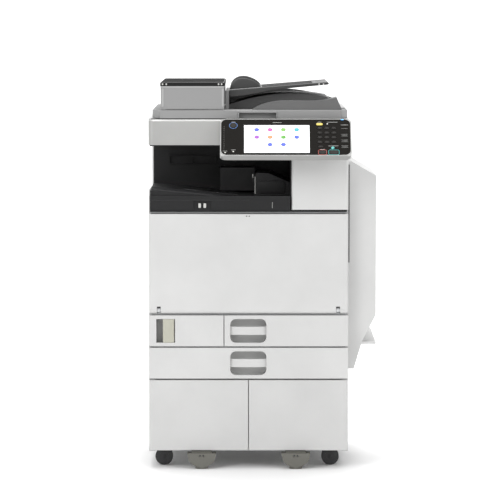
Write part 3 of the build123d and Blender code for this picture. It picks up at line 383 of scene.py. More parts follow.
# Each finish: the user colour that it follows and a factor on it, or a colour of its own; then
# its roughness, its grain, and what else sets it apart.
FINISHES = {
    "white_cover": (("cover", 1.0), 0.46, 1100.0, {"grain_depth": 0.10}),
    "white_drawer": (("cover", 0.985), 0.44, 1100.0, {"grain_depth": 0.10}),
    "cabinet_paint": (("cabinet", 1.0), 0.40, 500.0, {"grain_depth": 0.05, "flecks": 0.03}),
    "silver_paint": (("silver", 1.0), 0.32, 1600.0,
                     {"metallic": 0.55, "grain_depth": 0.03, "coat": 0.25, "flecks": 0.05}),
    "bezel_silver": (("silver", 0.72), 0.34, 1600.0,
                     {"metallic": 0.4, "grain_depth": 0.02, "flecks": 0.04}),
    "feeder_grey": (("feeder", 1.0), 0.44, 1200.0, {"grain_depth": 0.10}),
    # feeder grey made half again lighter: a light grey for some parts, and also the painted
    # highlights on the feeder's edges and corners
    "feeder_light": (("feeder", 1.5), 0.38, 1200.0, {}),
    "tray_grey": (("tray", 1.0), 0.48, 900.0, {"grain_depth": 0.16}),
    "tray_dark": (("tray", 0.32), 0.42, 900.0, {"grain_depth": 0.14, "wear": 0.25}),
    "cavity_black": (("black", 1.0), 0.46, 800.0,
                     {"grain_depth": 0.2, "wear": 0.06, "gloss": 0.3}),
    "band_black": (("black", 1.3), 0.40, 900.0,
                   {"grain_depth": 0.12, "wear": 0.06, "gloss": 0.3}),
    "exit_black": (("black", 1.9), 0.4, 900.0,
                   {"grain_depth": 0.12, "wear": 0.12, "gloss": 0.4}),
    "shelf_black": (("black", 3.2), 0.42, 900.0, {"grain_depth": 0.16, "wear": 0.2}),
    "panel_face": (("panel", 1.0), 0.30, 1500.0,
                   {"grain_depth": 0.02, "wear": 0.03, "gloss": 0.06}),
    "inner_black": ((0.02, 0.02, 0.022), 0.5, 700.0, {"grain_depth": 0.15}),
    "frame_steel": ((0.42, 0.43, 0.44), 0.36, 260.0,
                    {"metallic": 0.9, "grain_depth": 0.05, "wear": 0.3, "flecks": 0.12}),
    "soft_rubber": ((0.035, 0.035, 0.036), 0.72, 1000.0, {"grain_depth": 0.25, "wear": 0.1}),
    "wheel_plastic": ((0.018, 0.018, 0.019), 0.36, 600.0, {"grain_depth": 0.08}),
    "foot_plastic": ((0.135, 0.132, 0.115), 0.5, 800.0, {"grain_depth": 0.14}),
    "pad_white": ((0.82, 0.82, 0.80), 0.62, 300.0, {"grain_depth": 0.12, "wear": 0.0}),
    "mark_grey": ((0.24, 0.24, 0.23), 0.5, 900.0, {"wear": 0.0}),
    "mark_light": ((0.55, 0.55, 0.53), 0.5, 900.0, {"wear": 0.0}),
    "mark_bright": ((0.80, 0.80, 0.78), 0.5, 900.0, {"wear": 0.0}),
    "cap_dark": ((0.022, 0.022, 0.022), 0.8, 900.0,
                 {"grain_depth": 0.1, "wear": 0.1, "gloss": 0.03}),
    "key_face": ((0.012, 0.010, 0.008), 0.34, 900.0, {"grain_depth": 0.05, "gloss": 0.2}),
}
KEY_TINTS = {"teal": (0.02, 0.33, 0.36), "red": (0.55, 0.06, 0.03),
             "yellow": (0.72, 0.46, 0.06), "blue": (0.03, 0.11, 0.36)}
TONERS = {"yellow": (0.78, 0.60, 0.04), "magenta": (0.36, 0.03, 0.30),
          "cyan": (0.03, 0.30, 0.62), "black": (0.03, 0.03, 0.03)}
ICON_TINTS = {"blue": (0.06, 0.10, 0.62), "magenta": (0.50, 0.08, 0.36),
              "green": (0.16, 0.42, 0.05), "teal": (0.04, 0.42, 0.48),
              "purple": (0.32, 0.07, 0.48), "orange": (0.80, 0.26, 0.10),
              "pine": (0.10, 0.36, 0.04), "label": (0.22, 0.22, 0.26)}


def make_finishes(colours):
    """Every finish of the copier, by name."""
    for name, (base, roughness, grain, more) in FINISHES.items():
        if isinstance(base[0], str):
            base = [value * base[1] for value in getattr(colours, base[0])]
        moulded(name, base, roughness, grain=grain, **more)
    for name, tint in KEY_TINTS.items():
        moulded(f"key_{name}", tint, 0.34, grain=900.0, grain_depth=0.05, coat=0.3)
    for name, tint in TONERS.items():
        moulded(f"toner_{name}", tint, 0.40, grain=700.0, grain_depth=0.08)
    for name, tint in ICON_TINTS.items():
        glowing(f"icon_{name}", tint, 0.12)
    glowing("screen_lit", colours.screen, 0.55, 0.12)
    glowing("lamp_blue", (0.05, 0.35, 0.85), 1.2)
    glowing("lamp_white", (0.75, 0.75, 0.70), 0.3)
    clear_plate("platen_clear", (0.72, 0.84, 0.80))
    clear_plate("flap_clear", (0.66, 0.65, 0.55), 0.18, 0.35)


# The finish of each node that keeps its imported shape.
NODE_FINISHES = {
    "cabinet_body": "cabinet_paint", "cabinet_door_left": "cabinet_paint",
    "cabinet_door_right": "cabinet_paint", "caster_fork_left": "inner_black",
    "caster_fork_right": "inner_black", "rear_caster_forks": "inner_black",
    "caster_wheel_front_left": "wheel_plastic", "caster_wheel_front_right": "wheel_plastic",
    "caster_wheel_rear_left": "wheel_plastic", "caster_wheel_rear_right": "wheel_plastic",
    "stabiliser_feet": "foot_plastic", "main_frame": "frame_steel",
    "left_cover": "white_cover", "right_cover": "white_cover", "rear_cover": "white_cover",
    "front_door": "white_cover", "paper_tray_1": "white_drawer",
    "paper_tray_2": "white_drawer", "switch_panel": "white_drawer",
    "power_switch": "inner_black", "switch_cover": "flap_clear", "side_door": "white_cover",
    "bypass_tray": "white_cover", "cavity_liner": "cavity_black", "exit_unit": "exit_black",
    "output_tray": "band_black", "drum_units": "inner_black", "fusing_unit": "inner_black",
    "scanner_housing": "white_cover", "scanner_front_cover": "silver_paint",
    "platen_glass": "platen_clear", "scanner_carriage": "inner_black",
    "adf_base": "feeder_grey", "adf_feeder_cover": "feeder_grey",
    "adf_feed_roller": "soft_rubber", "adf_input_tray": "tray_dark",
    "adf_guide_front": "tray_dark", "adf_guide_rear": "tray_dark",
    "adf_exit_tray": "tray_grey", "panel_arm": "inner_black", "panel_housing": "bezel_silver",
    "touch_screen": "screen_lit", "key_reset": "key_yellow",
}


class COPIER_OT_finishes(bpy.types.Operator):
    """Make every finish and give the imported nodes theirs"""
    bl_idname = "copier.finishes"
    bl_label = "Finishes"

    def execute(self, context):
        make_finishes(context.scene.copier_colours)
        for name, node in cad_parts.items():
            finish = NODE_FINISHES.get(name, "key_face")
            node.data.materials.clear()
            node.data.materials.append(bpy.data.materials[finish])
        colour_bottles(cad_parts["toner_bottles"])
        return {"FINISHED"}


def colour_bottles(bottles):
    """One toner colour per bottle: each face takes the colour of the quarter of the row of
    bottles that its middle lies in."""
    low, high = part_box("toner_bottles")
    bottles.data.materials.clear()
    for colour in TONERS:
        bottles.data.materials.append(bpy.data.materials[f"toner_{colour}"])
    count = len(bottles.data.polygons)
    middles = np.zeros(count * 3)
    bottles.data.polygons.foreach_get("center", middles)
    across = (middles[0::3] - low.x) / (high.x - low.x)
    marks = np.clip((across * len(TONERS)).astype(int), 0, len(TONERS) - 1)
    bottles.data.polygons.foreach_set("material_index", marks)


# ---- Control panel ------------------------------------------------------------------------
PANEL_TILT = math.radians(42.0)       # face, from the vertical
PANEL_SIZE = (0.382, 0.1331)          # width, and length of the flat face
SCREEN_AT = (0.070, 0.017)            # from the left and the top of the face
LOW_EDGE, TOP_EDGE = -0.0008, 0.0075  # bezel beyond the lower and upper ends of the flat face
PANEL_UP = np.array((0.0, math.sin(PANEL_TILT), math.cos(PANEL_TILT)))
SCREEN_RISE, KEY_HEIGHT = 0.003, 0.005   # packed screen and key caps, through their thickness
FACE_THICKNESS, FACE_RISE = 0.0003, 0.00022
OPENING_GAP, KEY_GAP = 0.0006, 0.0008    # face opening around the screen and around a key
MARKS_OUT = 0.00037                      # printed marks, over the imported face


def panel_place(across=0.0, down=0.0, out=0.0):
    """Frame on the panel's face, measured from its upper left corner."""
    low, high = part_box("touch_screen")
    corner = Place((low.x, high.y - SCREEN_RISE * math.cos(PANEL_TILT), high.z), X_AXIS,
                   PANEL_UP)
    return corner.at(across - SCREEN_AT[0], SCREEN_AT[1] - down, out)


def mark(width, height, across, down, rise, radius=None, out=0.0):
    """Thin printed bar or rounded spot on the panel's face."""
    radius = min(width, height) * 0.3 if radius is None else radius
    return plate(width, height, radius, [(0, 0), (0, rise * 0.6), (rise * 0.5, rise)],
                 panel_place(across, down, out), steps=3)


def ring(width, height, radius, across, down, line, rise):
    """Raised outline: a small rounded section carried round a rounded rectangle."""
    outline, outward = rounded_outline(width, height, radius, 5)
    section = [(-line / 2, 0), (line / 2, 0), (line / 2, rise * 0.6), (line / 4, rise),
               (-line / 4, rise), (-line / 2, rise * 0.6)]
    return loop_band(outline, outward, section, panel_place(across, down))


def panel_bezel(sizes):
    """Silver rim: a half-round section carried round the rounded outline of the face."""
    across, down, width, length = face_outline()
    rim, rise = sizes.rim_width, sizes.rim_rise
    outline, outward = rounded_outline(width - rim, length - rim, sizes.panel_corner - rim / 2,
                                       10)
    turn = np.linspace(0.0, math.pi, 9)
    arch = np.stack([np.cos(turn) * rim / 2, np.sin(turn) * rise], axis=-1)
    foot = -0.0012
    section = [(rim / 2, foot), *arch, (-rim / 2, foot)]
    bezel = Builder("panel_bezel")
    bezel.add(loop_band(outline, outward, section, panel_place(across, down)), "bezel_silver")
    return bezel.build("control_panel", "silver_plastic", sharp_angle=60.0)


def key_spot(name):
    """Across, down and outward place of a packed key's middle, its width, and its height along
    the face: the box is the key's height and thickness, both tilted."""
    low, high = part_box(f"key_{name}")
    middle = middle_of(f"key_{name}") - panel_place().origin
    height = ((high.z - low.z) - KEY_HEIGHT * math.sin(PANEL_TILT)) / math.cos(PANEL_TILT)
    return middle[0], -(middle @ PANEL_UP), middle @ panel_place().out, high.x - low.x, height


def face_outline():
    """Middle and size of the face inside its rim: across, down, width and length."""
    width, length = PANEL_SIZE
    return width / 2, (length + LOW_EDGE - TOP_EDGE) / 2, width, length + TOP_EDGE + LOW_EDGE


def panel_face(sizes):
    """Dark face sheet: a flat outline with an opening for the screen and for each key, filled
    and given a small thickness."""
    across, down, width, length = face_outline()
    rim = sizes.rim_width
    curve = bpy.data.curves.new("panel_face", "CURVE")
    curve.dimensions, curve.fill_mode, curve.extrude = "2D", "BOTH", FACE_THICKNESS / 2
    low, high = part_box("touch_screen")
    screen_length = (high.z - low.z - SCREEN_RISE * math.sin(PANEL_TILT)) / math.cos(PANEL_TILT)
    screen_width = high.x - low.x
    openings = [(across, down, width - rim, length - rim, sizes.panel_corner - rim / 2),
                (SCREEN_AT[0] + screen_width / 2, SCREEN_AT[1] + screen_length / 2,
                 screen_width + OPENING_GAP, screen_length + OPENING_GAP, OPENING_GAP)]
    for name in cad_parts:
        if name.startswith("key_"):
            key_across, key_down, _, key_width, key_height = key_spot(name[len("key_"):])
            openings.append((key_across, key_down, key_width + KEY_GAP, key_height + KEY_GAP,
                             key_height / 2))
    for across, down, opening_width, opening_height, radius in openings:
        outline, _ = rounded_outline(opening_width, opening_height, radius, 6)
        spline = curve.splines.new("POLY")
        spline.points.add(len(outline) - 1)
        flat = np.zeros((len(outline), 4))
        flat[:, 0], flat[:, 1] = outline[:, 0] + across, outline[:, 1] - down
        flat[:, 3] = 1.0
        spline.points.foreach_set("co", flat.ravel())
        spline.use_cyclic_u = True
    flat_object = bpy.data.objects.new("face_outline", curve)
    mesh = bpy.data.meshes.new_from_object(flat_object)
    bpy.data.objects.remove(flat_object)
    points = np.zeros(len(mesh.vertices) * 3)
    mesh.vertices.foreach_get("co", points)
    placed = panel_place(out=FACE_RISE).points(points.reshape(-1, 3))
    mesh.vertices.foreach_set("co", placed.ravel())
    mesh.update()
    mesh.name = "panel_face"
    mesh.materials.clear()
    mesh.materials.append(bpy.data.materials["panel_face"])
    mesh.polygons.foreach_set("material_index", np.zeros(len(mesh.polygons), int))
    face = bpy.data.objects.new("panel_face", mesh)
    bpy.context.scene.collection.objects.link(face)
    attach(face, "control_panel")
    return face


def screen_icons(sizes):
    """Crowned discs in rows with a label bar under each, and a title bar. A disc's height over
    the screen falls as a quarter circle towards its edge."""
    icons = Builder("screen_icons")
    size, rise = sizes.icon_size, sizes.mark_rise
    first, pitch = SCREEN_AT[0] + 0.0365, 0.0388
    dome = [(0.0, 0.0), *[(size / 2 * (1 - math.cos(a)), rise * (0.4 + 0.9 * math.sin(a)))
                          for a in np.linspace(0.1, 1.45, 6)]]
    rows = ((0.0340, ("blue", "magenta", "green", "teal")),
            (0.0620, ("purple", "orange", "pine", "blue")),
            (0.0900, (None, "blue", "blue", None)))
    for down, row in rows:
        for column, tint in enumerate(row):
            if tint is None:
                continue
            across = first + column * pitch
            icons.add(plate(size, size * 0.92, size * 0.46, dome,
                            panel_place(across, down, 0.00002), steps=6), f"icon_{tint}")
            icons.add(mark(size * (0.85 + 0.25 * (column % 2)), 0.0020, across,
                           down + size * 0.72, rise, 0.0006), "icon_label")
    icons.add(mark(0.0060, 0.0016, SCREEN_AT[0] + 0.095, 0.0235, rise, 0.0005), "icon_label")
    return icons.build("control_panel", "screen_white")


# Printed bars on the face: across, down and width.
FACE_BARS = ((0.0385, 0.0055, 0.012), (0.297, 0.1085, 0.013), (0.329, 0.0955, 0.029),
             (0.362, 0.0165, 0.022), (0.289, 0.0060, 0.011), (0.327, 0.0060, 0.030),
             (0.0150, 0.1150, 0.013), (0.0385, 0.1105, 0.013), (0.166, 0.0075, 0.026))
# Small lamps on the face: across, down and width.
FACE_LAMPS = ((0.0150, 0.1205, 0.0042), (0.0385, 0.1165, 0.0042), (0.3125, 0.0125, 0.0040))
# Outlined keys: finish of the outline, how far it stands round the key, and its corner radius,
# which is round where none is given.
OUTLINED_KEYS = {"stop": ("key_red", 0.0038, 0.0048), "start": ("key_teal", 0.0038, 0.0048),
                 "home": ("key_blue", 0.0040, None)}


def panel_marks(sizes):
    """Outlines round the large keys, label bars, lamps and the marks along the rim."""
    marks = Builder("panel_marks")
    rise = sizes.mark_rise
    for name, (finish, grow, radius) in OUTLINED_KEYS.items():
        across, down, _, width, height = key_spot(name)
        marks.add(ring(width + grow, height + grow, radius or (height + grow) / 2, across, down,
                       0.0013, rise * 4 + MARKS_OUT), finish)
    for across, down, width in FACE_BARS:
        marks.add(mark(width, 0.0014, across, down, rise, out=MARKS_OUT), "mark_light")
    for index in range(4):
        for line in range(3 if index else 1):
            marks.add(mark(0.020 - 0.004 * (line % 2), 0.0012, 0.362,
                           0.0300 + index * 0.0215 + line * 0.0035, rise, out=MARKS_OUT),
                      "mark_grey")
    for index in range(14):
        marks.add(mark(0.0009, 0.0034, 0.0115, 0.0230 + index * 0.0070, rise, 0.0003,
                       MARKS_OUT), "mark_grey")
    for across, down, width in FACE_LAMPS:
        marks.add(slat(width, width * 0.75, width * 0.3, (0.0006, 0.0004),
                       panel_place(across, down, MARKS_OUT).origin, up=PANEL_UP), "lamp_white")
    diagonal, other = (X_AXIS + PANEL_UP) / math.sqrt(2), (PANEL_UP - X_AXIS) / math.sqrt(2)
    marks.add(slat(0.0090, 0.0080, 0.0010, (0.0009, 0.0005),
                   panel_place(0.327, 0.1030, MARKS_OUT).origin, diagonal, other), "key_teal")
    marks.add(slat(0.0080, 0.0026, 0.0012, (0.0013, 0.0008),
                   panel_place(0.356, -0.0035, 0.0002).origin, up=PANEL_UP), "lamp_blue")
    return marks.build("control_panel", "panel_black")


# Strokes of plain seven-bar digits, from corner to corner of a two by two square.
DIGIT_STROKES = {
    "1": ((0, -1, 0, 1),),
    "2": ((-1, 1, 1, 1), (1, 0, 1, 1), (-1, 0, 1, 0), (-1, -1, -1, 0), (-1, -1, 1, -1)),
    "3": ((-1, 1, 1, 1), (-1, 0, 1, 0), (-1, -1, 1, -1), (1, -1, 1, 1)),
    "4": ((-1, 0, -1, 1), (-1, 0, 1, 0), (1, -1, 1, 1)),
    "5": ((-1, 1, 1, 1), (-1, 0, -1, 1), (-1, 0, 1, 0), (1, -1, 1, 0), (-1, -1, 1, -1)),
    "6": ((-1, 1, 1, 1), (-1, -1, -1, 1), (-1, 0, 1, 0), (1, -1, 1, 0), (-1, -1, 1, -1)),
    "7": ((-1, 1, 1, 1), (1, -1, 1, 1)),
    "8": ((-1, -1, -1, 1), (1, -1, 1, 1), (-1, 1, 1, 1), (-1, 0, 1, 0), (-1, -1, 1, -1)),
    "9": ((-1, 0, -1, 1), (1, -1, 1, 1), (-1, 1, 1, 1), (-1, 0, 1, 0), (-1, -1, 1, -1)),
    "0": ((-1, -1, -1, 1), (1, -1, 1, 1), (-1, 1, 1, 1), (-1, -1, 1, -1)),
    "star": ((-1, 0, 1, 0), (0, -1, 0, 1)),
    "hash": ((-1, 0.4, 1, 0.4), (-1, -0.4, 1, -0.4), (-0.4, -1, -0.4, 1), (0.4, -1, 0.4, 1)),
    "clear": ((-1, -1, -1, 1), (-1, 1, 1, 1), (-1, -1, 1, -1)),
}


def key_legends():
    """Bar digits on the caps of the keypad, one piece per key so each rides its key."""
    bar, rise, half_width, half_height = 0.0009, 0.0001, 0.00075, 0.0011
    for name, strokes in DIGIT_STROKES.items():
        across, down, out, _, _ = key_spot(name)
        place = panel_place(across, down, out + KEY_HEIGHT / 2 - 0.00003)
        legend = Builder(f"legend_{name}")
        for x0, y0, x1, y1 in strokes:
            spot = place.at((x0 + x1) * half_width, (y0 + y1) * half_height)
            legend.add(plate(abs(x1 - x0) * 2 * half_width + bar,
                             abs(y1 - y0) * 2 * half_height + bar, bar * 0.4,
                             [(0, 0), (0, rise * 0.6), (bar * 0.2, rise)], spot, steps=2),
                       "mark_bright")
        legend.build(f"key_{name}", "key_grey")


class COPIER_OT_control_panel(bpy.types.Operator):
    """Make the panel's bezel, dark face, screen icons, marks and key legends"""
    bl_idname = "copier.control_panel"
    bl_label = "Control Panel"

    def execute(self, context):
        sizes = context.scene.copier_sizes
        panel_bezel(sizes)
        panel_face(sizes)
        screen_icons(sizes)
        panel_marks(sizes)
        key_legends()
        return {"FINISHED"}


# ---- Document feeder ----------------------------------------------------------------------
def slab_over(node, grow=0.0):
    """Middle, width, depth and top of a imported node's box, seen from above."""
    low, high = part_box(node)
    return ((low.x + high.x) / 2, (low.y + high.y) / 2, high.x - low.x + 2 * grow,
            high.y - low.y + 2 * grow, high.z)


SPOT_EDGE = (0.0010, 0.0006)          # rise and rounding of the small printed tabs
CAP_SPOTS = (-0.0875, -0.0765, 0.0765, 0.0855)   # tabs along the cap's front


def feeder_cap(sizes):
    """Dark top cap with a soft edge over the feeder cover, and a painted highlight under its rim.
    """
    x, y, width, depth, top = slab_over("adf_feeder_cover", 0.0007)
    rise = sizes.cap_rise
    cap = Builder("feeder_cap")
    crown = [(0.0006, 0.0), (0.0, 0.0006), (0.0, rise * 0.72), (0.0008, rise * 0.9),
             (0.0026, rise * 0.99), (0.006, rise + 0.0006), (0.030, rise + 0.0012)]
    cap.add(plate(width + 0.001, depth + 0.001, 0.0060, crown,
                  Place((x, y, top - rise), X_AXIS, Y_AXIS)), "cap_dark")
    # light band round the cover under the cap: painted highlight of its front top edge
    highlight_band = [(0.0004, 0.0), (0.0, 0.0004), (0.0, 0.0040), (0.0004, 0.0044)]
    cap.add(plate(width, depth, 0.0058, highlight_band,
                  Place((x, y, top - rise - 0.0047), X_AXIS, Y_AXIS)), "feeder_light")
    for spot in CAP_SPOTS:
        cap.add(slat(0.0042, 0.0052, 0.0016, SPOT_EDGE,
                     (x + spot, y - depth / 2 - 0.0002, top - rise * 0.52)), "mark_light")
    return cap.build("adf_feeder_cover", "feeder_dark")


def feeder_corner_highlights():
    """Light rounded strips down the two front corners of the feeder cover, painted highlights of
    those corners: a quarter-round section carried straight down."""
    low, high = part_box("adf_feeder_cover")
    strips = Builder("feeder_corner_strips")
    for x in (low.x + 0.0062, high.x - 0.0050):
        strips.add(slat(0.0060, high.z - low.z - 0.026, 0.0030, (0.0012, 0.0011),
                        (x, low.y + 0.0002, (high.z + low.z) / 2 - 0.0055)), "feeder_light")
    return strips.build("adf_feeder_cover", "feeder_grey")


TRAY_HINGE = 0.005                    # tray's hinge line, in from its box's low corner
SKIRT_START = 0.0085                  # skirt's end, clear of the base when the tray is up


def tray_skin():
    """Curved skirt of the input tray: along the tray its lower edge hangs in a long S under the
    hinge end and runs thin to the tip, and across the tray the section closes on itself."""
    low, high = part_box("adf_input_tray")
    hinge_x, hinge_z = low.x + TRAY_HINGE, low.z + TRAY_HINGE
    tip_x, tip_z = high.x - 0.004, high.z
    along = np.linspace(0.0, 1.0, 33)
    x = hinge_x + SKIRT_START + along * (tip_x - hinge_x - SKIRT_START)
    upper = hinge_z + 0.0055 + (tip_z - hinge_z - 0.0055) * along + 0.0012
    fall = 0.5 * (1.0 + np.cos(math.pi * np.clip(along / 0.62, 0.0, 1.0)))
    lower = upper - 0.0050 - 0.0150 * fall - 0.0030 * np.sin(math.pi * along)
    skirts = Builder("input_tray_skirts")
    for y, way in ((low.y, -1), (high.y, 1)):
        section = ((0.0003, upper), (0.0030, upper - 0.0012), (0.0034, (upper + lower) / 2),
                   (0.0026, lower + 0.0006), (0.0003, lower))
        grid = np.stack([np.stack([x, np.full_like(x, y + way * out), height], -1)
                         for out, height in section], axis=1)
        faces = capped_faces(*grid.shape[:2])
        if way > 0:
            faces = [face[::-1] for face in faces]
        skirts.add((grid, faces), "tray_dark")
    for spot in (0.0125, 0.0255):
        skirts.add(slat(0.0040, 0.0052, 0.0016, SPOT_EDGE,
                        (tip_x - spot, low.y - 0.0032, tip_z - 0.0055)), "mark_light")
    return skirts.build("adf_input_tray", "feeder_dark", sharp_angle=50.0)


def tray_ribs():
    """Paper ribs along the top of the input tray: low bars that follow its slope."""
    low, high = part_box("adf_input_tray")
    slope = math.atan2(high.z - low.z - 2 * TRAY_HINGE, high.x - low.x - 0.009)
    along = np.array((math.cos(slope), 0.0, math.sin(slope)))
    x = (low.x + high.x) / 2 + 0.030
    z = low.z + 2 * TRAY_HINGE + (x - low.x - TRAY_HINGE) * math.tan(slope) + 0.00005
    ribs = Builder("input_tray_ribs")
    for y in np.linspace(low.y + 0.06, high.y - 0.06, 8):
        ribs.add(slat(0.150, 0.0022, 0.0011, (0.0012, 0.0008), (x, y, z), along, Y_AXIS),
                 "tray_dark")
    return ribs.build("adf_input_tray", "feeder_dark")


GUIDE_REACH = 0.0095                  # a dome's foot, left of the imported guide


def guide_dome(guide):
    """Thick dome in place of a side guide: the height over the foot line is a half wave raised
    to a low power, and across the guide the section is a soft round."""
    low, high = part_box(guide)
    along = np.linspace(0.0, 1.0, 29)
    around = np.linspace(0.0, math.pi, 9)
    rise = np.sin(math.pi * along ** 0.82) ** 0.62
    foot = low.z + 0.0006 + 0.0075 * along
    half = (high.y - low.y) / 2 + 0.0012
    x = low.x - GUIDE_REACH + along * (high.x - low.x + GUIDE_REACH + 0.0008)
    top = foot + rise * (high.z - 0.0002 - foot) + 0.0001
    bulge = np.sign(np.cos(around)) * np.abs(np.cos(around)) ** 0.55
    grid = np.zeros((len(along), len(around), 3))
    grid[:, :, 0] = x[:, None]
    grid[:, :, 1] = (low.y + high.y) / 2 + half * bulge * (0.45 + 0.55 * rise[:, None])
    grid[:, :, 2] = foot[:, None] + (top - foot)[:, None] * np.sin(around) ** 0.5
    dome = Builder(f"{guide}_dome").add((grid, capped_faces(*grid.shape[:2])), "tray_dark")
    piece = dome.build(guide, "feeder_dark", sharp_angle=70.0)
    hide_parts(guide)
    return piece


def exit_tray_details():
    """Ribs on the sloping front part of the exit tray, and a painted highlight at its right end.
    """
    low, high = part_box("adf_exit_tray")
    details = Builder("exit_tray_details")
    slope = np.array((0.965, 0.0, 0.262))
    for y in np.linspace(low.y + 0.150, high.y - 0.050, 7):
        details.add(slat(0.090, 0.0024, 0.0012, (0.0012, 0.0008),
                         (low.x + 0.120, y, low.z + 0.0285), slope, Y_AXIS), "tray_grey")
    _, y, _, depth, _ = slab_over("adf_base")
    # light slab along the tray's right end: painted highlight of that end
    details.add(slat(0.012, depth * 0.72, 0.003, (0.0035, 0.0015),
                     (high.x + 0.0065, y + 0.020, low.z - 0.0002), X_AXIS, Y_AXIS),
                "feeder_light")
    return details.build("document_feeder", "feeder_grey")


def exit_back_wall():
    """Wall behind the exit tray: a thin sheet whose upper edge swells in one long wave under
    the input tray and falls towards the right end."""
    low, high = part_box("adf_exit_tray")
    along = np.linspace(0.0, 1.0, 41)
    x = low.x + 0.001 + along * (high.x - low.x - 0.004)
    crest = 0.0405 + 0.0135 * np.sin(math.pi * along ** 0.9) - 0.022 * along ** 4
    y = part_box("adf_input_tray")[1].y + 0.012
    # depth behind the wall's front, and height as a share of the crest
    section = np.array([(0.0050, 0.0), (0.0050, 0.96), (0.0038, 1.0), (0.0012, 1.0),
                        (0.0, 0.96), (0.0, 0.0)])
    grid = np.zeros((len(along), len(section), 3))
    grid[:, :, 0] = x[:, None]
    grid[:, :, 1] = y + section[:, 0]
    grid[:, :, 2] = low.z + crest[:, None] * section[:, 1]
    wall = Builder("exit_tray_back_wall").add((grid, capped_faces(*grid.shape[:2])),
                                              "tray_grey")
    return wall.build("document_feeder", "feeder_grey")


def scanner_seal():
    """Dark strip of painted shade in the gap on the scanner's front edge, under the feeder's
    base.
    """
    low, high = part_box("scanner_front_cover")
    painted_shade = Builder("scanner_seal")
    # black strip over the gap: painted shade
    painted_shade.add(slat(high.x - low.x - 0.016, 0.010, 0.003, (0.0026, 0.0006),
                  ((low.x + high.x) / 2, low.y + 0.0135, high.z), X_AXIS, Y_AXIS),
             "soft_rubber")
    return painted_shade.build("chassis", "dark_plastic")


def base_details():
    """Upright ends and seam strip of the grip in the front edge of the feeder's base."""
    low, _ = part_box("adf_base")
    middle, half_grip = CAD_BOX[0][0] + 0.3205, 0.0565
    details = Builder("feeder_base_details")
    for x in (middle - half_grip, middle + half_grip):
        details.add(slat(0.0030, 0.0155, 0.0012, (0.0016, 0.0010),
                         (x, low.y + 0.0006, low.z + 0.0085)), "feeder_light")
    details.add(slat(0.108, 0.0022, 0.0010, (0.0018, 0.0010),
                     (middle, low.y + 0.0004, low.z + 0.0180)), "feeder_light")
    return details.build("document_feeder", "feeder_grey")


def platen_pad():
    """White pressing pad under the feeder's base, a thin plate with soft edges."""
    low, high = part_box("platen_glass")
    pad, inset = Builder("platen_pad"), 0.006
    pad.add(slat(high.x - low.x - inset, high.y - low.y - inset, 0.006, (0.0009, 0.0004),
                 ((low.x + high.x) / 2, (low.y + high.y) / 2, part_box("adf_base")[0].z + 0.0002),
                 X_AXIS, -Y_AXIS), "pad_white")
    return pad.build("document_feeder", "feeder_grey")


def registration_marks():
    """Size scale beside the glass: a strip with evenly spaced ticks, each fifth one long."""
    low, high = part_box("platen_glass")
    y = low.y - 0.008
    scale = Builder("platen_scale")
    scale.add(plate(high.x - low.x, 0.010, 0.001, [(0, 0), (0.0001, 0.0002)],
                    Place(((low.x + high.x) / 2, y, high.z), X_AXIS, Y_AXIS)), "mark_light")
    for index, x in enumerate(np.linspace(low.x + 0.01, high.x - 0.01, 40)):
        scale.add(plate(0.0007, 0.0045 if index % 5 else 0.0075, 0.0002,
                        [(0, 0), (0.0001, 0.00012)],
                        Place((x, y, high.z + 0.0002), X_AXIS, Y_AXIS), steps=1),
                  "inner_black")
    return scale.build("chassis", "cover_white", smooth=False)


class COPIER_OT_feeder(bpy.types.Operator):
    """Make the feeder's cap, strips, tray skirts, guide domes, pad and platen scale"""
    bl_idname = "copier.feeder"
    bl_label = "Feeder"

    def execute(self, context):
        feeder_cap(context.scene.copier_sizes)
        feeder_corner_highlights()
        tray_skin()
        tray_ribs()
        guide_dome("adf_guide_front")
        guide_dome("adf_guide_rear")
        exit_tray_details()
        exit_back_wall()
        scanner_seal()
        base_details()
        platen_pad()
        registration_marks()
        return {"FINISHED"}


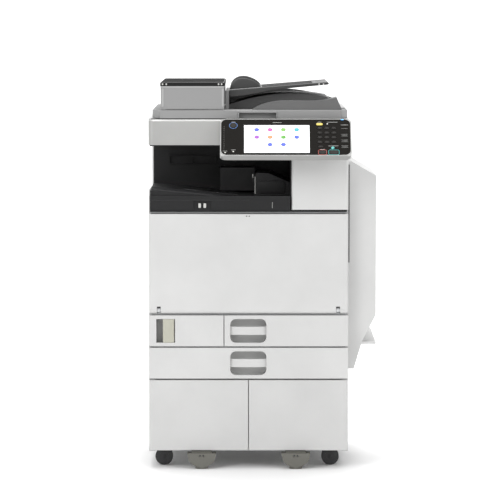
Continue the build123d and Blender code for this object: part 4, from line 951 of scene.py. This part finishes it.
# ---- Output cavity ------------------------------------------------------------------------
def output_shelf():
    """Paper rest of the output tray: a surface that falls in a slow wave from its high left end
    to the exit, with a raised lip that curves down along its front, closed underneath."""
    low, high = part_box("output_tray")
    right = high.x - 0.004
    left, front, back = low.x + 0.004, low.y + 0.0165, high.y - 0.004
    u = np.linspace(0.0, 1.0, 61)
    v = np.linspace(0.0, 1.0, 23)
    x = left + u * (right - left)
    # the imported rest's bends along X, and its height at each
    bends = np.array([0.0, 0.150, 0.265, right - left]) + left
    heights = high.z - np.array([0.0, 0.014, 0.026, 0.035])
    rest = np.interp(x, bends, heights)
    lip = 0.010 * np.exp(-((v[None, :] - 0.06) / 0.05) ** 2) \
        * (1 / (1 + np.exp((u[:, None] - 0.52) / 0.07)))
    wave = 0.0012 + 0.0022 * np.sin(math.pi * v[None, :]) * np.sin(math.pi * u[:, None])
    grid = np.zeros((len(u), len(v), 3))
    grid[:, :, 0] = x[:, None]
    grid[:, :, 1] = front + v[None, :] * (back - front)
    grid[:, :, 2] = rest[:, None] + wave + lip
    rows, columns = len(u), len(v)
    count = rows * columns
    under = grid.copy()
    under[:, :, 2] = rest[:, None] - 0.0004
    points = np.concatenate([grid.reshape(-1, 3), under.reshape(-1, 3)])
    faces = [face[::-1] for face in grid_faces(rows, columns)]
    faces += grid_faces(rows, columns, start=count)
    rim = np.concatenate([np.arange(columns), np.arange(1, rows) * columns + columns - 1,
                          (rows - 1) * columns + np.arange(columns - 2, -1, -1),
                          np.arange(rows - 2, 0, -1) * columns])
    following = np.roll(rim, -1)
    faces += np.stack([rim, following, following + count, rim + count], -1).tolist()
    shelf = Builder("output_shelf").add((points, faces), "shelf_black")
    across, slant = np.array((0.905, 0.42, 0.0)), np.array((-0.42, 0.905, 0.0))
    for number in range(8):
        spot = left + 0.120 + number * 0.0155
        shelf.add(slat(0.0034, 0.200 - number * 0.012, 0.0015, (0.0042, 0.0015),
                       (spot, front + 0.130, np.interp(spot, bends, heights) + 0.0012),
                       across, slant), "exit_black")
    return shelf.build("chassis", "dark_plastic", sharp_angle=50.0)


# Bars on the black band and the exit unit: width, height, corner radius, edge, place from the
# datum and finish. The datum is the box's left side, the band's front and the band's foot.
BAND_BARS = (
    (0.0078, 0.0135, 0.0022, (0.0022, 0.0016), (0.1505, 0.0012, 0.0125), "mark_light"),
    (0.0078, 0.0135, 0.0022, (0.0022, 0.0016), (0.1655, 0.0012, 0.0125), "mark_light"),
    (0.0022, 0.0180, 0.0009, (0.0012, 0.0008), (0.3635, 0.0003, 0.0140), "mark_grey"),
    (0.2860, 0.0016, 0.0007, (0.0008, 0.0006), (0.1520, 0.0003, 0.0285), "exit_black"),
)
# The same from the exit unit's front left edge; its two light strips are painted highlights.
EXIT_BARS = (
    (0.0032, 0.0520, 0.0012, (0.0012, 0.0010), (0.0015, 0.1748, 0.0625), "mark_light"),
    (0.0030, 0.0120, 0.0012, (0.0012, 0.0010), (-0.0055, 0.1748, 0.0900), "mark_light"),
    (0.0840, 0.0380, 0.0100, (0.0024, 0.0018), (0.0500, 0.1746, 0.0570), "exit_black"),
)


def band_details():
    """Latch tabs, seam mark and groove line of the black band, and light strips on the exit
    unit's front left edge that paint its highlights."""
    low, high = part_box("output_tray")
    band_foot = high.z - 0.057
    exit_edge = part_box("exit_unit")[1].x - 0.1045
    details = Builder("band_details")
    for left, bars in ((CAD_BOX[0][0], BAND_BARS), (exit_edge, EXIT_BARS)):
        for width, height, radius, edge, place, finish in bars:
            origin = np.array((left, low.y, band_foot)) + place
            details.add(slat(width, height, radius, edge, origin), finish)
    return details.build("chassis", "dark_plastic")


class COPIER_OT_cavity(bpy.types.Operator):
    """Make the output tray's shelf and ribs, the latch tabs and the painted highlights on the
    exit unit's edge
    """
    bl_idname = "copier.cavity"
    bl_label = "Output Cavity"

    def execute(self, context):
        output_shelf()
        band_details()
        return {"FINISHED"}


# ---- Fronts -------------------------------------------------------------------------------
def door_details():
    """Two dark catch spots at the top of the front door and the hinge covers at its foot."""
    low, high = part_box("front_door")
    front = low.y + 0.0001
    details = Builder("front_door_details")
    for x in (-0.0055, 0.0025):
        details.add(slat(0.0040, 0.0030, 0.0012, (0.0006, 0.0004),
                         ((low.x + high.x) / 2 + x, front, high.z - 0.0065)), "inner_black")
    for x in (low.x + 0.0105, high.x - 0.0175):
        details.add(slat(0.0150, 0.0050, 0.0018, (0.0008, 0.0006),
                         (x, front, low.z + 0.0105)), "white_cover")
    return details.build("front_door", "cover_white")


HANDLE_X = 0.293                      # recess's middle, from the box's left side
TRAY_PITCH, TRAY_BASE = 0.0955, 0.264 # drawers' spacing, and the foot of the lower one
HANDLE_HEIGHTS = {"paper_tray_1": TRAY_BASE + TRAY_PITCH * 1.5,
                  "paper_tray_2": TRAY_BASE + TRAY_PITCH * 0.5}


def handle_lining(tray):
    """Soft lip round a drawer's hand recess: a small round section carried round its outline."""
    low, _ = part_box(tray)
    turn = np.linspace(0.0, math.pi, 7)
    arch = np.stack([0.0014 * np.cos(turn), 0.0007 * np.sin(turn)], axis=-1)
    section = [(0.0012, -0.0010), *arch, (-0.0012, -0.0020)]
    outline, outward = rounded_outline(0.1088, 0.0728, 0.0182, 8)
    place = Place((CAD_BOX[0][0] + HANDLE_X, low.y + 0.0002, HANDLE_HEIGHTS[tray]), X_AXIS,
                  Z_AXIS)
    lining = Builder(f"{tray}_recess_lip")
    lining.add(loop_band(outline, outward, section, place), "white_drawer")
    return lining.build(tray, "cover_white")


# Stack of sheets in each drawer: its left edge and foot from the drawer's box, and its height.
PAPER = {"paper_tray_1": (0.030, 0.0045, 0.030), "paper_tray_2": (0.028, 0.0065, 0.045)}


def paper_stack(tray):
    """Ream in a drawer: a block of sheets whose edges wander a little, sheet by sheet."""
    low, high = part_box(tray)
    left, foot, height = PAPER[tray]
    x0, x1 = low.x + left, high.x - 0.028
    y0, y1 = low.y + 0.062, high.y - 0.020
    levels = np.linspace(0.0, height, 13)
    wander = 0.0006 * np.sin(levels * 900.0) + 0.0004 * np.sin(levels * 2300.0)
    profile = np.stack([wander - wander.min(), levels], axis=-1)
    stack = Builder(f"{tray}_paper")
    stack.add(plate(x1 - x0, y1 - y0, 0.0008, profile,
                    Place(((x0 + x1) / 2, (y0 + y1) / 2, low.z + foot), X_AXIS, Y_AXIS),
                    steps=2), "pad_white")
    return stack.build(tray, "cover_white", smooth=False)


def switch_details():
    """Marks on the main switch's rocker: a line above its middle and a ring below."""
    x, _, z = middle_of("power_switch")
    y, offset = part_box("power_switch")[0].y + 0.0008, 0.0110
    marks = Builder("switch_marks")
    marks.add(plate(0.0014, 0.0060, 0.0005, [(0, -0.0006), (0, 0.0003), (0.0002, 0.0004)],
                    Place((x, y, z + offset), X_AXIS, Z_AXIS)), "mark_light")
    outline, outward = rounded_outline(0.0060, 0.0060, 0.0030, 6)
    section = [(-0.0005, -0.0006), (0.0005, -0.0006), (0.0005, 0.0004), (-0.0005, 0.0004)]
    marks.add(loop_band(outline, outward, section, Place((x, y, z - offset), X_AXIS, Z_AXIS)),
              "mark_light")
    return marks.build("power_switch", "dark_plastic")


def side_details():
    """Finger edge of the bypass tray, a dark strip of painted shade in the front gap of the
    duplex door, and bars above the tray."""
    low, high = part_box("side_door")
    tray_low, tray_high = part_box("bypass_tray")
    details = Builder("bypass_tray_details")
    details.add(slat(0.110, 0.0130, 0.0050, (0.0006, 0.0005),
                     (tray_high.x - 0.0003, (tray_low.y + tray_high.y) / 2,
                      tray_high.z - 0.0180), Y_AXIS, Z_AXIS), "feeder_light")
    details.build("bypass_tray", "cover_white")
    # dark strip in the door's front gap: painted shade
    gap = Builder("duplex_gap_seal")
    gap.add(slat(0.0030, 0.2900, 0.0012, (0.0010, 0.0006),
                 (low.x + 0.0022, low.y - 0.0012, 0.750)), "soft_rubber")
    gap.build("chassis", "dark_plastic")
    bars = Builder("duplex_door_bars")
    for index in range(6):
        bars.add(slat(0.0900, 0.0030, 0.0014, (0.0005, 0.0004),
                      (high.x - 0.0006, low.y + 0.0900,
                       tray_high.z + 0.0200 + index * 0.0070), Y_AXIS, Z_AXIS), "feeder_light")
    return bars.build("side_door", "cover_white")


class COPIER_OT_fronts(bpy.types.Operator):
    """Make the details of the front door, drawers, main switch and duplex door"""
    bl_idname = "copier.fronts"
    bl_label = "Fronts"

    def execute(self, context):
        door_details()
        for tray in PAPER:
            handle_lining(tray)
        for tray in PAPER:
            paper_stack(tray)
        switch_details()
        side_details()
        return {"FINISHED"}


# ---- Casters and feet ---------------------------------------------------------------------
DISC_WIDTH = 0.009                    # one wheel of a twin
# Profiles: place along the axle as a share of the disc, and radius below the wheel's; then the
# hub's inset and rise.
TREAD = np.array([(-0.5, -0.0043), (-0.5, -0.0015), (-0.42, -0.0003), (-0.2, 0.0), (0.2, 0.0),
                  (0.42, -0.0003), (0.5, -0.0015), (0.5, -0.0043)])
HUB = [(0, 0), (0, 0.0005), (0.0015, 0.0010), (0.0040, 0.0006), (0.0095, 0.0004),
       (0.0105, 0.0012)]


def caster_tyre(node):
    """Soft tread round both discs of a twin wheel and a dished hub on each side: profiles of
    radius and place along the axle, turned about it."""
    low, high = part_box(node)
    middle = middle_of(node)
    extent = np.array(high) - np.array(low)
    axle, roll = (X_AXIS, Y_AXIS) if extent[0] < extent[1] else (Y_AXIS, X_AXIS)
    width = min(extent[:2])
    turn = np.linspace(0.0, 2 * math.pi, 49)[:-1]
    spokes = np.cos(turn)[:, None] * roll + np.sin(turn)[:, None] * Z_AXIS
    across, reach = TREAD[:, 0] * (DISC_WIDTH + 0.0006), TREAD[:, 1] + extent[2] / 2
    wheel = Builder(f"{node}_tread")
    for side in (-1, 1):
        centre = side * (width - DISC_WIDTH) / 2
        tread = middle + (centre + across)[None, :, None] * axle \
            + reach[None, :, None] * spokes[:, None, :]
        wheel.add((tread, grid_faces(len(turn), len(across), wrap_rows=True,
                                     wrap_columns=True)), "soft_rubber")
        way = side * (1 if axle is X_AXIS else -1)
        place = Place(middle + side * (width / 2 - 0.0002) * axle, roll * way, Z_AXIS)
        wheel.add(plate(0.030, 0.030, 0.015, HUB, place), "wheel_plastic")
    return wheel.build(node, "wheel_black", sharp_angle=50.0)


FOOT_PLACES = (-0.1795, 0.0980)       # middle of each stabiliser foot


def foot_details():
    """Two small recess caps at the top of each stabiliser foot."""
    low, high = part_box("stabiliser_feet")
    details = Builder("stabiliser_details")
    for x in FOOT_PLACES:
        for spot in (-0.0045, 0.0045):
            details.add(slat(0.0046, 0.0046, 0.0023, (0.0006, 0.0004),
                             (x + spot, low.y + 0.0002, high.z - 0.0105), steps=5),
                        "inner_black")
    return details.build("chassis", "foot_grey")


class COPIER_OT_casters(bpy.types.Operator):
    """Make the tread and hubs of the twin wheels and the details of the stabiliser feet"""
    bl_idname = "copier.casters"
    bl_label = "Casters"

    def execute(self, context):
        for place in ("front_left", "front_right", "rear_left", "rear_right"):
            caster_tyre(f"caster_wheel_{place}")
        foot_details()
        return {"FINISHED"}


# ---- Studio -------------------------------------------------------------------------------
WORLD_STRENGTH = 0.74
# Soft square lights: place, target, power as a share of the key light's, and size.
LIGHTS = {"key_light": ((-3.2, -4.6, 3.4), (0, 0, 0.7), 1.0, 2.4),
          "fill_light": ((3.4, -4.2, 2.2), (0, 0, 0.6), 0.42, 2.6),
          "top_light": ((0.0, -0.4, 4.2), (0, 0, 0.8), 0.38, 2.2),
          "backdrop_light": ((0.0, 5.0, 10.0), (0, 16.0, 0.5), 20.0, 9.0)}
VIEW_X, VIEW_Z = -0.037, 0.646        # middle of the view, on the plane of the fronts
PANEL_REACH = 0.115                   # control panel in front of that plane


def area_light(name, spot, target, power, size):
    """Soft square light at the spot that faces the target."""
    light = bpy.data.lights.new(name, "AREA")
    light.energy, light.size = power, size
    lamp = bpy.data.objects.new(name, light)
    bpy.context.scene.collection.objects.link(lamp)
    lamp.location = spot
    lamp.rotation_euler = (Vector(target) - Vector(spot)).to_track_quat("-Z", "Y").to_euler()


def studio_sheet(colour):
    """Floor that bends up into a backdrop: a profile of floor, quarter circle of 3 m radius and
    wall, carried along X."""
    half_width, front, bend, radius, top = 24.0, -20.0, 17.0, 3.0, 12.0
    angle = np.linspace(0.0, math.pi / 2, 17)
    profile = np.concatenate([
        [(front, 0.0)],
        np.stack([bend + radius * np.sin(angle), radius * (1 - np.cos(angle))], axis=-1),
        [(bend + radius, top)]])
    x = np.linspace(-half_width, half_width, 5)
    grid = np.zeros((len(x), len(profile), 3))
    grid[:, :, 0] = x[:, None]
    grid[:, :, 1:] = profile[None, :, :]
    sheet = make_object("studio_sheet", grid, grid_faces(len(x), len(profile)))
    material = moulded("studio_floor", colour, 0.85, grain=60.0, grain_depth=0.02, tone=0.006,
                       wear=0.0)
    sheet.data.materials.append(material)


class COPIER_OT_stage(bpy.types.Operator):
    """Lay the pale floor, set the soft lights and aim the camera"""
    bl_idname = "copier.stage"
    bl_label = "Stage"

    def execute(self, context):
        scene, studio = context.scene, context.scene.copier_studio
        scene.view_settings.view_transform = "Standard"
        studio_sheet(scene.copier_colours.floor)
        world = bpy.data.worlds.new("studio")
        world.use_nodes = True
        background = world.node_tree.nodes["Background"]
        background.inputs["Color"].default_value = (1, 1, 1, 1)
        background.inputs["Strength"].default_value = WORLD_STRENGTH
        scene.world = world
        for name, (spot, target, share, size) in LIGHTS.items():
            area_light(name, spot, target, studio.key_power * share, size)
        camera = bpy.data.objects.new("camera", bpy.data.cameras.new("camera"))
        camera.data.lens = studio.lens
        camera.data.clip_end = 60.0
        scene.collection.objects.link(camera)
        front = CAD_BOX[0][1] + PANEL_REACH
        target = Vector((VIEW_X, front, VIEW_Z))
        camera.location = (VIEW_X, front - studio.distance, studio.eye_height)
        camera.rotation_euler = (target - camera.location).to_track_quat("-Z", "Y").to_euler()
        scene.camera = camera
        return {"FINISHED"}


class COPIER_PT_panel(bpy.types.Panel):
    """Sizes, colours and operators of the copier"""
    bl_idname = "COPIER_PT_panel"
    bl_label = "Office Copier"
    bl_space_type = "VIEW_3D"
    bl_region_type = "UI"
    bl_category = "Copier"

    def draw(self, context):
        scene = context.scene
        for group in (scene.copier_colours, scene.copier_sizes, scene.copier_studio):
            box = self.layout.box()
            for name in type(group).__annotations__:
                box.prop(group, name)
        for step in STEPS:
            self.layout.operator(step.bl_idname)


STEPS = (COPIER_OT_finishes, COPIER_OT_control_panel, COPIER_OT_feeder, COPIER_OT_cavity,
         COPIER_OT_fronts, COPIER_OT_casters, COPIER_OT_stage)
GROUPS = {"copier_colours": CopierColours, "copier_sizes": CopierSizes,
          "copier_studio": CopierStudio}


def register():
    for group in GROUPS.values():
        bpy.utils.register_class(group)
    for step in STEPS + (COPIER_PT_panel,):
        bpy.utils.register_class(step)
    for name, group in GROUPS.items():
        setattr(bpy.types.Scene, name, PointerProperty(type=group))


def unregister():
    for name in GROUPS:
        delattr(bpy.types.Scene, name)
    for kind in (COPIER_PT_panel, *reversed(STEPS), *reversed(GROUPS.values())):
        bpy.utils.unregister_class(kind)


def main():
    """Make the copier's looks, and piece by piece."""
    register()
    for step in STEPS:
        area, name = step.bl_idname.split(".")
        getattr(getattr(bpy.ops, area), name)()


if __name__ == "__main__":
    main()
